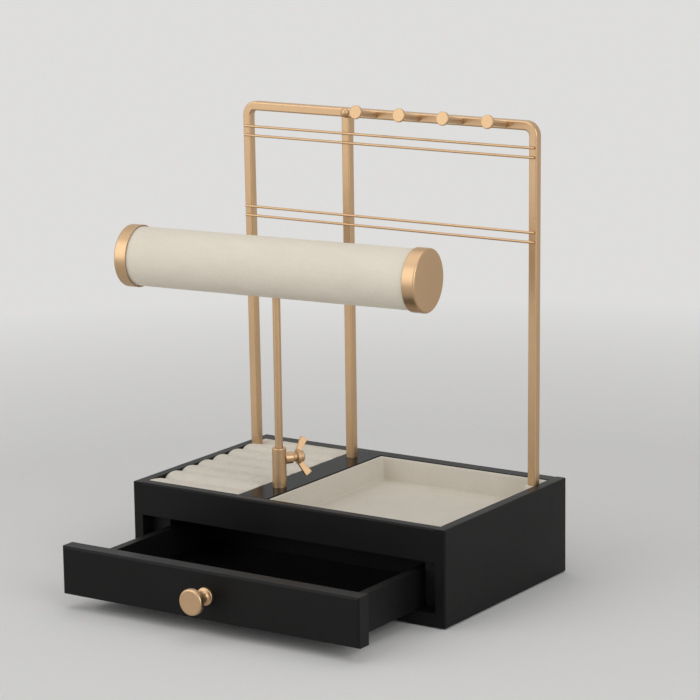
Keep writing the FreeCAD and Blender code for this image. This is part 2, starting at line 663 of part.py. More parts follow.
def frame_hoop():
    """Square tube bent into a hoop: one profile carried up, over and down again, and the same for its bore."""
    body = new_body("frame_hoop", "0 - post_x", "frame_middle_y", "tray_floor_top + weld_gap")
    width = "2 * post_x"
    height = "hoop_height"
    spine = new_sketch(body, "spine", "XZ_Plane")
    leg_x = "bend_side - bend_radius * cos(splay)"
    leg_z = "hoop_height - bend_radius - bend_radius * sin(splay)"
    corners = [("0", "0"), (leg_x, leg_z, "bend_radius", -1),
               ("bend_side", height), (f"{width} - bend_side", height, "bend_radius", -1),
               (f"{width} - ({leg_x})", leg_z), (width, "0")]
    open_path(spine, corners)
    for name, kind, size, corner in (
            ("tube", "AdditivePipe", "tube_size", "tube_corner"),
            ("bore", "SubtractivePipe", "tube_bore", "0.4")):
        profile = new_sketch(body, name, "XY_Plane")
        centred_square(profile, size, corner)
        pipe = body.newObject(f"PartDesign::{kind}", f"{body.Name}_{name}_pipe")
        pipe.Profile = profile
        pipe.Spine = (spine, [f"Edge{index}" for index in range(1, len(corners))])
        doc.recompute()
    hole = new_sketch(body, "post_screw_hole", "XZ_Plane", "0 - tube_size")
    circle(hole, "middle_post_x + post_x", height, "post_screw_dia + 2 * screw_play")
    pocket(body, hole, "2 * tube_size", reverse=True)
    return body


def open_path(sketch, points):
    """Open chain of lines and arcs, with the same points as an outline."""
    corners = [FreeCAD.Vector(number(point[0]), number(point[1]), 0) for point in points]
    starts, ends = [], []
    for index, point in enumerate(points[:-1]):
        here, there = corners[index], corners[index + 1]
        if len(point) == 2:
            sketch.addGeometry(Part.LineSegment(here, there))
            starts.append(1)
            ends.append(2)
            continue
        geometry = sketch.addGeometry(arc_between(here, there, number(point[2]), point[3]))
        starts.append(1 if point[3] > 0 else 2)
        ends.append(2 if point[3] > 0 else 1)
        radius = sketch.addConstraint(Sketcher.Constraint("Radius", geometry, number(point[2])))
        bind(sketch, f"Constraints[{radius}]", point[2])
    for index in range(len(points) - 2):
        link = Sketcher.Constraint("Coincident", index, ends[index], index + 1, starts[index + 1])
        sketch.addConstraint(link)
    for index, point in enumerate(points[:-1]):
        place_point(sketch, index, starts[index], point[0], point[1])
    place_point(sketch, len(points) - 2, ends[-1], points[-1][0], points[-1][1])


def middle_post():
    """Square tube on the divider, with a flat tab that laps behind the frame's bar."""
    body = new_body("middle_post", "middle_post_x", "frame_middle_y", "case_top")
    height = "frame_top - tube_size - weld_gap - case_top"
    tube = new_sketch(body, "tube", "XY_Plane")
    centred_square(tube, "tube_size", "tube_corner")
    centred_square(tube, "tube_bore", "0.4")
    pad(body, tube, height)
    tab = new_sketch(body, "tab", "YZ_Plane", "0 - tube_size / 2 + tube_corner")
    rectangle(tab, "tube_size / 2", "frame_top - tab_clear - case_top - tab_height", "tab_thick", "tab_height")
    pad(body, tab, "tube_size - 2 * tube_corner")
    hole = new_sketch(body, "hole", "XZ_Plane", "0 - tube_size / 2 - tab_thick")
    circle(hole, "0", "bar_z - case_top", "post_screw_dia + 2 * screw_play")
    pocket(body, hole, "tab_thick", reverse=True)
    return body


def post_screw():
    """Dome-headed screw through the bar into the middle post's tab."""
    body = new_body("post_screw", "middle_post_x", "frame_y", "bar_z")
    turn(body, (1, 0, 0), "90")
    profile = new_sketch(body, "profile", "XZ_Plane")
    shank = "0 - tube_size - tab_thick"
    dome = "dome_dia * dome_dia / (8 * dome_rise) + dome_rise / 2"
    outline(profile, [("0", shank), ("post_screw_dia / 2", shank), ("post_screw_dia / 2", "0"),
                      ("dome_dia / 2", "0", dome, 1), ("0", "dome_rise")])
    revolve(body, profile)
    return body


def group(label, solids):
    """Several like solids kept as one sub-part."""
    compound = doc.addObject("Part::Compound", label)
    compound.Links = solids
    compound.Label = label
    parts.append(compound)
    return compound


def cylinder(name, x, y, z, diameter, length):
    solid = doc.addObject("Part::Cylinder", name)
    bind(solid, "Radius", f"({diameter}) / 2")
    bind(solid, "Height", length)
    for axis, expression in zip("xyz", (x, y, z)):
        bind(solid, f"Placement.Base.{axis}", expression)
    return solid


def post_inserts():
    """Threaded blocks in the lower ends of the three posts."""
    blocks = []
    for name, x, z in POSTS:
        block = doc.addObject("Part::Box", f"insert_block_{name}")
        for side in ("Length", "Width"):
            bind(block, side, "tube_bore - 2 * insert_play")
        bind(block, "Height", "insert_length")
        bind(block, "Placement.Base.x", f"{x} - tube_bore / 2 + insert_play")
        bind(block, "Placement.Base.y", "frame_middle_y - tube_bore / 2 + insert_play")
        bind(block, "Placement.Base.z", z)
        thread = cylinder(f"insert_thread_{name}", x, "frame_middle_y", z,
                          "screw_dia + 2 * screw_play", "insert_length")
        insert = doc.addObject("Part::Cut", f"insert_{name}")
        insert.Base = block
        insert.Tool = thread
        blocks.append(insert)
    return group("post_inserts", blocks)


def frame_screws():
    """Screws up through the tray floor into the three posts and the sleeve."""
    screws = []
    ends = [(name, x, "frame_middle_y", f"{z} + screw_grip") for name, x, z in POSTS]
    ends.append(("sleeve", "divider_middle", "sleeve_y", "tray_floor_top + sleeve_plug - 1"))
    for name, x, y, top in ends:
        head = cylinder(f"screw_head_{name}", x, y, "rail_bottom - screw_head_thick",
                        "screw_head_dia", "screw_head_thick")
        shank = cylinder(f"screw_shank_{name}", x, y, "rail_bottom - screw_head_thick",
                         "screw_dia", f"{top} - rail_bottom + screw_head_thick")
        screw = doc.addObject("Part::MultiFuse", f"screw_{name}")
        screw.Shapes = [head, shank]
        screws.append(screw)
    return group("frame_screws", screws)


def cross_wire(label, drop):
    """Round wire with hemispherical ends, welded to the front of the posts."""
    body = new_body(label, "0 - frame_half - wire_overhang", "frame_y - wire_dia / 2 - weld_gap",
                    f"frame_top - ({drop})")
    profile = new_sketch(body, "profile", "XZ_Plane")
    length = "2 * (frame_half + wire_overhang)"
    radius = "wire_dia / 2"
    outline(profile, [("0", "0", radius, -1), (radius, radius), (f"{length} - {radius}", radius, radius, -1),
                      (length, "0")])
    revolve(body, profile, "H_Axis")
    return body


def hook(label, order):
    """Peg with a flat disc, tilted upwards; its root is cut flush with the bar's front face."""
    x = f"middle_post_x + hook_first + {order} * hook_pitch"
    body = new_body(label, x, "frame_y - weld_gap", "bar_z")
    turn(body, (1, 0, 0), "90 - hook_tilt")
    profile = new_sketch(body, "profile", "XZ_Plane")
    peg, disc = "hook_dia / 2", "hook_disc_dia / 2"
    root = "0 - hook_dia"
    outline(profile, [
        ("0", root), (peg, root), (peg, "hook_reach - hook_disc_thick"),
        (f"{disc} - hook_round", "hook_reach - hook_disc_thick", "hook_round", 1),
        (disc, "hook_reach - hook_disc_thick + hook_round"), (disc, "hook_reach - hook_round", "hook_round", 1),
        (f"{disc} - hook_round", "hook_reach"), ("0", "hook_reach")])
    revolve(body, profile)
    trim = new_sketch(body, "trim", "YZ_Plane", "0 - hook_dia")
    rise = "hook_dia * tan(hook_tilt * 1 deg)"
    outline(trim, [("0 - hook_dia", f"0 - {rise}"), ("0 - hook_dia", "0 - 2 * hook_dia"),
                   ("hook_dia", "0 - 2 * hook_dia"), ("hook_dia", rise)])
    pocket(body, trim, "2 * hook_dia", reverse=True)
    return body


# ---- The bracelet bar ----

def tbar_sleeve():
    """Turned sleeve through the divider, blind at its foot, with a side boss for the wing screw."""
    body = new_body("tbar_sleeve", "divider_middle", "sleeve_y", "tray_floor_top")
    turn(body, (0, 0, 1), "clamp_yaw")
    profile = new_sketch(body, "profile", "XZ_Plane")
    outer, inner = "sleeve_dia / 2", "rod_bore / 2"
    outline(profile, [
        ("0", "0"), (outer, "0"), (outer, "sleeve_total - sleeve_round", "sleeve_round", 1),
        (f"{outer} - sleeve_round", "sleeve_total"), (f"{inner} + 0.4", "sleeve_total"),
        (inner, "sleeve_total - 0.4"), (inner, "sleeve_plug"), ("0", "sleeve_plug")])
    revolve(body, profile)
    boss = new_sketch(body, "boss", "YZ_Plane", "(rod_bore + sleeve_dia) / 4")
    circle(boss, "0", "boss_z", "boss_dia")
    pad(body, boss, "boss_reach - (rod_bore + sleeve_dia) / 4")
    thread = new_sketch(body, "thread", "YZ_Plane")
    circle(thread, "0", "boss_z", "clamp_dia + 2 * clamp_play")
    pocket(body, thread, "boss_reach", reverse=True)
    foot = new_sketch(body, "foot_thread", "XY_Plane")
    circle(foot, "0", "0", "screw_dia + 2 * screw_play")
    pocket(body, foot, "sleeve_plug - 0.8", reverse=True)
    fillet(body, "0.6", lambda edge: abs(edge.BoundBox.XMin - number("boss_reach")) < 0.001
           and edge.BoundBox.YLength > number("clamp_dia + 1"))
    return body


def tbar_rod():
    body = new_body("tbar_rod", "divider_middle", "sleeve_y", "sleeve_top - rod_grip")
    profile = new_sketch(body, "profile", "XZ_Plane")
    radius = "rod_dia / 2"
    outline(profile, [("0", "0"), (f"{radius} - 0.6", "0"), (radius, "0.6"), (radius, "rod_length - 0.6"),
                      (f"{radius} - 0.6", "rod_length"), ("0", "rod_length")])
    revolve(body, profile)
    return body


def along_roll(label, points):
    """Piece turned about the roll's axis; its own origin is the roll's centre, over the rod."""
    body = new_body(label, "divider_middle", "sleeve_y", "roll_height")
    turn(body, (0, 0, 1), "roll_yaw")
    profile = new_sketch(body, "profile", "XZ_Plane")
    outline(profile, points)
    revolve(body, profile, "H_Axis")
    return body


def ring_points(half, outer, inner):
    return [(f"0 - {half}", inner), (half, inner), (half, outer), (f"0 - {half}", outer)]


def rod_hole(body, diameter, top, depth):
    """Upright round hole from below the roll up to the height top."""
    hole = new_sketch(body, "rod_hole", "XY_Plane", top)
    circle(hole, "0", "0", diameter)
    pocket(body, hole, depth)
    return body


def roll_hub():
    """Round plug inside the core that turns on the rod's upper end."""
    body = along_roll("roll_hub", [("0 - hub_length / 2", "0"), ("hub_length / 2", "0"),
                                   ("hub_length / 2", "core_bore / 2 - hub_play"),
                                   ("0 - hub_length / 2", "core_bore / 2 - hub_play")])
    return rod_hole(body, "rod_bore", "hub_roof + rod_end_gap", "roll_dia")


def roll_core():
    half = "(velvet_length / 2)"
    body = along_roll("roll_core", ring_points(half, "core_dia / 2", "core_bore / 2"))
    return rod_hole(body, "rod_dia + 2 * rod_hole_play", "0", "roll_dia")


def roll_cover():
    half = "(velvet_length / 2)"
    body = along_roll("roll_cover", ring_points(half, "roll_dia / 2", "core_dia / 2 + velvet_play"))
    return rod_hole(body, "rod_dia + 2 * rod_hole_play", "0", "roll_dia")


def end_cap(label, side):
    """Pressed metal cap over one end of the roll, with a rounded rim."""
    body = new_body(label, "divider_middle", "sleeve_y", "roll_height")
    turn(body, (0, 0, 1), "roll_yaw" if side > 0 else "roll_yaw + 180")
    profile = new_sketch(body, "profile", "XZ_Plane")
    end, rim, inner = "(roll_length / 2)", "cap_dia / 2", "cap_bore / 2"
    outline(profile, [
        (f"{end} - cap_wall", "0"), (end, "0"), (end, f"{rim} - cap_round", "cap_round", 1),
        (f"{end} - cap_round", rim), (f"{end} - cap_rim", rim), (f"{end} - cap_rim", inner),
        (f"{end} - cap_round", inner, "cap_round - cap_wall", -1),
        (f"{end} - cap_wall", f"{rim} - cap_round")])
    revolve(body, profile, "H_Axis")
    return body


def wing_screw():
    """Clamp screw: a threaded shank, a neck, a collar, a domed hub and two leaning wings.

    Its own X runs along the screw; the body is turned to the clamp boss and about its own axis.
    """
    body = new_body("wing_screw", "divider_middle", "sleeve_y", "tray_floor_top + boss_z")
    base = "vector(divider_middle; sleeve_y; tray_floor_top + boss_z)"
    bind(body, "Placement", f"placement({base}; rotationz(clamp_yaw) * rotationx(clamp_roll))")
    profile = new_sketch(body, "profile", "XZ_Plane")
    tip = "(rod_dia / 2 + clamp_tip_gap)"
    shank, neck, collar, hub = "clamp_dia / 2", "clamp_neck_dia / 2", "collar_dia / 2", "hub_dia / 2"
    outline(profile, [
        (tip, "0"), (tip, f"{shank} - 0.6"), (f"{tip} + 0.6", shank), ("clamp_seat", shank),
        ("clamp_seat", f"{neck} - 0.4"), ("clamp_seat + 0.4", neck), ("collar_face", neck),
        ("collar_face", f"{collar} - collar_round", "collar_round", -1),
        ("collar_face + collar_round", collar), ("collar_back - collar_round", collar, "collar_round", -1),
        ("collar_back", f"{collar} - collar_round"), ("collar_back", hub),
        ("hub_crown - hub_round", hub, "hub_round", -1), ("hub_crown", f"{hub} - hub_round"),
        ("hub_crown", "0")])
    revolve(body, profile, "H_Axis")
    lean = "wing_lean * 1 deg"
    out = "collar_face + wing_out"
    root = f"{out} - (wing_half - wing_foot) * tan({lean})"
    for name, up in (("upper", 1), ("lower", -1)):
        wing = new_sketch(body, f"{name}_wing", "XZ_Plane", "0 - wing_thick / 2")
        corners = []
        for x, z, half in ((root, "wing_foot", "wing_root / 2"), (out, "wing_half", "wing_tip / 2")):
            for side in (-1, 1):
                corners.append((f"{x} + {side} * {half} * cos({lean})",
                                f"{up} * ({z} - {side} * {half} * sin({lean}))"))
        outline(wing, [corners[0], corners[1], corners[3], corners[2]])
        pad(body, wing, "wing_thick")
    outer = number("wing_half") - number("wing_tip") / 2
    fillet(body, "wing_round", lambda edge: edge.BoundBox.XLength < 0.001
           and abs(edge.BoundBox.Center.z) > outer and edge.BoundBox.ZLength < 0.001)
    return body


# ---- Assembly ----

POSTS = [("left", "0 - post_x", "tray_floor_top"), ("middle", "middle_post_x", "case_top"),
         ("right", "post_x", "tray_floor_top")]
SCREW_PLACES = [(x, "frame_middle_y") for name, x, z in POSTS] + [("divider_middle", "sleeve_y")]

base_felt()
bottom_board()
side_panel("side_panel_left", -1)
side_panel("side_panel_right", 1)
back_panel()
front_rail()
tray_floor()
tray_divider()
drawer_guide("drawer_guide_left", -1)
drawer_guide("drawer_guide_right", 1)
ring_pad()
tray_liner()

drawer_front()
drawer_side("drawer_side_left", -1)
drawer_side("drawer_side_right", 1)
drawer_back()
drawer_bottom()
drawer_knob()
knob_screw()

frame_hoop()
middle_post()
post_inserts()
frame_screws()
post_screw()
cross_wire("wire_upper_1", "upper_wire_drop")
cross_wire("wire_upper_2", "upper_wire_drop + wire_spacing")
cross_wire("wire_lower_1", "lower_wire_drop")
cross_wire("wire_lower_2", "lower_wire_drop + wire_spacing")
for place in range(4):
    hook(f"hook_{place + 1}", place)

tbar_sleeve()
wing_screw()
tbar_rod()
roll_hub()
roll_core()
roll_cover()
end_cap("end_cap_left", -1)
end_cap("end_cap_right", 1)

doc.recompute()
failed = [thing.Label for thing in doc.Objects if "Invalid" in thing.State or "Error" in thing.State]
if failed:
    raise RuntimeError(f"not computed: {failed}")
for thing in parts:
    if thing.Shape.isNull() or not thing.Shape.isValid():
        raise RuntimeError(f"{thing.Label} has no valid shape")
os.makedirs("parts", exist_ok=True)
for thing in parts:
    thing.Shape.exportStep(f"parts/{thing.Label}.step")
print(len(parts), "sub-parts written")
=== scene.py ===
"""Jewellery stand: finishes for its boards and metal, and its velvet pieces made new."""

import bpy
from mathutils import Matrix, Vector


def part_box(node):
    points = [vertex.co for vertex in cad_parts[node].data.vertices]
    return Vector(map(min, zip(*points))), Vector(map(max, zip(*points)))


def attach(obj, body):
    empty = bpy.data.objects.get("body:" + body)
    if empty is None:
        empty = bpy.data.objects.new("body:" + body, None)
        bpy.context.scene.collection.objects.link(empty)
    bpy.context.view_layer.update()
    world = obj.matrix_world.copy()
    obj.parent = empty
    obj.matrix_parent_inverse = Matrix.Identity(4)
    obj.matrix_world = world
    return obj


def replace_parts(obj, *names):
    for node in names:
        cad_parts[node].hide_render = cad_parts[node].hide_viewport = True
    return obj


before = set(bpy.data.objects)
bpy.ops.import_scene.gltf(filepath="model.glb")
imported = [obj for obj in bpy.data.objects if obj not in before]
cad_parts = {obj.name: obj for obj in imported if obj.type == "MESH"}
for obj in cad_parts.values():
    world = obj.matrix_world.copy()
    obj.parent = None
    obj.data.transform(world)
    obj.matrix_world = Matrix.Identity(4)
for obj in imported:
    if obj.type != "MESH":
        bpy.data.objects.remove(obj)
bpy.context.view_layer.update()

import math

import bmesh
import bpy
import numpy as np
from mathutils import Matrix, Vector

bl_info = {
    "name": "Jewellery Stand",
    "version": (1, 0, 0),
    "blender": (4, 5, 0),
    "location": "3D View > Sidebar > Stand",
    "description": "Lacquers, plates and upholsters a jewellery stand with two trays and a drawer",
    "category": "Add Mesh",
}

CASE_BOARDS = ("bottom_board", "side_panel_left", "side_panel_right", "back_panel", "front_rail")
DRAWER_BOARDS = ("drawer_front", "drawer_side_left", "drawer_side_right", "drawer_back")
HIDDEN_BOARDS = ("tray_floor", "drawer_guide_left", "drawer_guide_right")
STEEL_FIXINGS = ("post_inserts", "frame_screws", "knob_screw")

# Plated nodes, with the part of the finish's name, its roughness, and the grain's scale along x, y
# and z: where the scale is small, the grain runs long.
PLATED = (
    (("frame_hoop",), "hoop", 0.37, (1, 1, 0.1)),
    (("middle_post",), "post", 0.37, (1, 1, 0.1)),
    (("wire_upper_1", "wire_upper_2", "wire_lower_1", "wire_lower_2"), "wire", 0.4, (0.1, 1, 1)),
    (("hook_1", "hook_2", "hook_3", "hook_4", "post_screw"), "hook", 0.44, (1, 0.15, 1)),
    (("tbar_sleeve", "tbar_rod"), "drawn", 0.38, (1, 1, 0.1)),
    (("end_cap_left", "end_cap_right", "drawer_knob"), "turned", 0.36, (1, 1, 1)),
    (("wing_screw",), "cast", 0.5, (1, 1, 1)),
)
GRAIN_TURN = (0.015, 0.009)  # depths under the hoop's top between which its grain turns

# Lamps: name, place, size in metres and power in watts.
LAMPS = (
    ("key", (-1.3, -1.9, 1.15), (2.6, 2.4), 25.0),
    ("fill", (1.8, -0.75, 0.9), (1.5, 1.5), 14.0),
    ("top", (-0.1, 0.0, 1.8), (1.8, 1.8), 8.0),
)
LAMPS_AIM = (0, -0.02, 0.14)
AMBIENT = 0.38
FLOOR_GAP = 0.0002
FADE_START, FADE_END = 0.45, 1.1  # distances from the stand between which the floor fades out

CAMERA_PLACE = (1.2356, -1.8542, 0.6490)
CAMERA_TURN = ((0.8341486, -0.10389083, 0.5416667),
               (0.55137832, 0.18083955, -0.81441943),
               (-0.01334405, 0.9780101, 0.20813021))

# Room that the velvet leaves beside a post of the hoop, and before and behind it.
POST_SIDE, POST_ENDS = 0.001, 0.0006

# Shares of the points on an outline's notched side: up to the notch, in, along it, out, and on.
NOTCH_SHARES = (0.66, 0.09, 0.11, 0.09, 0.05)


# ---- Numbers ----

def corners_of(node):
    """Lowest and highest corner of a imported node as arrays."""
    low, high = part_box(node)
    return np.array(low, float), np.array(high, float)


def points_of(node):
    """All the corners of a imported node's mesh as one array."""
    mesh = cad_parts[node].data
    points = np.empty(len(mesh.vertices) * 3)
    mesh.vertices.foreach_get("co", points)
    return points.reshape(-1, 3)


def smoothstep(value, start, end):
    """0 before start, 1 after end, and the cubic 3t^2 - 2t^3 between them."""
    t = np.clip((np.asarray(value, float) - start) / (end - start), 0, 1)
    return t * t * (3 - 2 * t)


def ripple(u, v, seed, waves=9, finest=6.0):
    """Soft unevenness from -1 to 1: a sum of sine waves of random direction, length and phase."""
    random = np.random.default_rng(seed)
    angles = random.uniform(0, math.tau, waves)
    counts = random.uniform(1, finest, waves)
    phases = random.uniform(0, math.tau, waves)
    total = np.zeros(np.broadcast(u, v).shape)
    for angle, count, phase in zip(angles, counts, phases):
        along = u * math.cos(angle) + v * math.sin(angle)
        total = total + np.sin(math.tau * count * along + phase)
    peak = 1.6  # brings the usual peak of the mean near 1
    return total / waves * peak


# ---- Meshes ----

def quads(rows, columns, first=0, around=False, flip=False):
    """Faces over a grid of rows by columns of points; around joins the last column to the first."""
    across = np.arange(columns if around else columns - 1)
    low = first + np.arange(rows - 1)[:, None] * columns
    here, there = low + across, low + (across + 1) % columns
    faces = np.stack([here, there, there + columns, here + columns], axis=-1).reshape(-1, 4)
    return faces[:, ::-1] if flip else faces


def new_piece(name, points, faces, finish, smooth=40.0):
    """A mesh object at the origin; edges sharper than smooth degrees stay crisp."""
    mesh = bpy.data.meshes.new(name)
    mesh.from_pydata(np.asarray(points).reshape(-1, 3).tolist(), [],
                     [face for block in faces for face in np.asarray(block).tolist()])
    mesh.validate()
    piece = bpy.data.objects.new(name, mesh)
    bpy.context.scene.collection.objects.link(piece)
    mesh.materials.append(finish)
    merge(mesh)
    mesh.polygons.foreach_set("use_smooth", np.ones(len(mesh.polygons), bool))
    mesh.set_sharp_from_angle(angle=math.radians(smooth))
    return piece


def merge(mesh, gap=1e-6):
    """Joins points that lie in one place and turns the faces outwards."""
    work = bmesh.new()
    work.from_mesh(mesh)
    bmesh.ops.remove_doubles(work, verts=work.verts, dist=gap)
    bmesh.ops.dissolve_degenerate(work, edges=work.edges, dist=gap)
    bmesh.ops.recalc_face_normals(work, faces=work.faces)
    work.to_mesh(mesh)
    work.free()
    mesh.update()


def path(low, high, inset, radius, notch=None, long=72, short=64, turn=8):
    """Closed outline, anticlockwise: a rectangle moved in by inset, with round corners.

    Each side runs from the middle of one corner arc to the middle of the next and has the same
    number of points in every outline, so that outlines can be joined or filled point by point.
    notch is (depth, start, end): the right side steps in by depth between those two values of y.
    Returns the points and how many of them each of the four sides has.
    """
    x0, y0, x1, y1 = low[0] + inset, low[1] + inset, high[0] - inset, high[1] - inset
    radius = max(radius, 1e-4)
    centres = np.array([(x1 - radius, y0 + radius), (x1 - radius, y1 - radius),
                        (x0 + radius, y1 - radius), (x0 + radius, y0 + radius)])
    arcs = []
    for index, centre in enumerate(centres):
        angle = np.linspace(-0.5, 0, 2 * turn + 1) * math.pi + index * math.pi / 2
        arcs.append(centre + radius * np.stack([np.cos(angle), np.sin(angle)], axis=-1))
    outline = []
    for index, count in enumerate((long, short, long, short)):
        before, after = arcs[(index - 1) % 4], arcs[index]
        start, end = before[-1], after[0]
        where = np.linspace(0, 1, count - 2 * turn)
        if index == 1 and notch:
            depth, foot, head = notch
            corners = np.array([start, (x1, foot - inset), (x1 - depth, foot - inset),
                                (x1 - depth, head + inset), (x1, head + inset), end])
            marks = np.concatenate([[0], np.cumsum(NOTCH_SHARES)])
            where[[np.abs(where - mark).argmin() for mark in marks]] = marks
            middle = np.stack([np.interp(where, marks, corners[:, axis]) for axis in (0, 1)],
                              axis=-1)
        else:
            middle = start + where[:, None] * (end - start)
        side = np.concatenate([before[turn:-1], middle, after[1:turn + 1]])
        outline.append(side[:-1])
    return np.concatenate(outline), [len(side) for side in outline]


def fill(outline, sides):
    """Grid over a closed outline of four sides.

    The sides are blended across and along, and the two blends are added, less the blend of the
    four corners (a Coons patch). Returns an array of rows by columns of points.
    """
    stops = np.cumsum([0] + sides)
    looped = np.concatenate([outline, outline[:1]])
    bottom, right, top, left = (looped[stops[i]:stops[i + 1] + 1] for i in range(4))
    top, left = top[::-1], left[::-1]
    u = np.linspace(0, 1, len(bottom))[None, :, None]
    v = np.linspace(0, 1, len(right))[:, None, None]
    across = (1 - u) * left[:, None] + u * right[:, None]
    along = (1 - v) * bottom[None] + v * top[None]
    plane = ((1 - u) * (1 - v) * bottom[0] + u * (1 - v) * bottom[-1]
             + (1 - u) * v * top[0] + u * v * top[-1])
    return across + along - plane


def edge_distance(points, outline):
    """Distance of each point from the nearest stretch of a closed outline, in the plane."""
    start, end = outline, np.roll(outline, -1, axis=0)
    run = end - start
    away = points[:, None, :2] - start[None]
    share = np.clip((away * run).sum(-1) / np.maximum((run * run).sum(-1), 1e-18), 0, 1)
    return np.linalg.norm(away - share[..., None] * run, axis=-1).min(axis=1)


def swell(points, faces, free, push, limit, slack=0.0):
    """Inflates the free points as cloth under pressure and returns where they are at the end.

    The mesh is simulated ten times its size, held at every point that isn't free, for twenty
    frames without gravity, and no point ends further than limit from where it began. slack is
    the share by which the cloth may lengthen before it pulls.
    """
    scale, frames = 10.0, 20
    mesh = bpy.data.meshes.new("cloth_work")
    mesh.from_pydata((points * scale).tolist(), [],
                     [face for block in faces for face in np.asarray(block).tolist()])
    work = bpy.data.objects.new("cloth_work", mesh)
    scene = bpy.context.scene
    scene.collection.objects.link(work)
    held = work.vertex_groups.new(name="held")
    held.add(np.flatnonzero(~free).tolist(), 1.0, "REPLACE")
    cloth = work.modifiers.new("cloth", "CLOTH")
    settings = cloth.settings
    settings.quality = 6
    settings.mass = 0.2
    settings.tension_stiffness = settings.compression_stiffness = 12
    settings.shear_stiffness = 6
    settings.bending_stiffness = 0.3
    settings.vertex_group_mass = "held"
    settings.use_pressure = True
    settings.uniform_pressure_force = push
    settings.shrink_min = -slack
    settings.effector_weights.gravity = 0
    cloth.collision_settings.use_collision = False
    cloth.point_cache.frame_start, cloth.point_cache.frame_end = 1, frames
    for number in range(1, frames + 1):
        scene.frame_set(number)
    shaped = work.evaluated_get(bpy.context.evaluated_depsgraph_get()).data
    moved = np.empty(len(points) * 3)
    shaped.vertices.foreach_get("co", moved)
    bpy.data.objects.remove(work)
    bpy.data.meshes.remove(mesh)
    scene.frame_set(1)
    step = moved.reshape(-1, 3) / scale - points
    size = np.linalg.norm(step, axis=1, keepdims=True)
    return points + step * np.minimum(1, limit / np.maximum(size, 1e-9))


# ---- Finishes ----

def pale_rays(nodes, links):
    """1 for camera, mirror and glass rays, which see the pale background, and 0 for others."""
    ray = nodes.new("ShaderNodeLightPath")
    total = ray.outputs["Is Camera Ray"]
    for name in ("Is Glossy Ray", "Is Transmission Ray"):
        add = nodes.new("ShaderNodeMath")
        add.operation, add.use_clamp = "ADD", True
        links.new(total, add.inputs[0])
        links.new(ray.outputs[name], add.inputs[1])
        total = add.outputs[0]
    return total


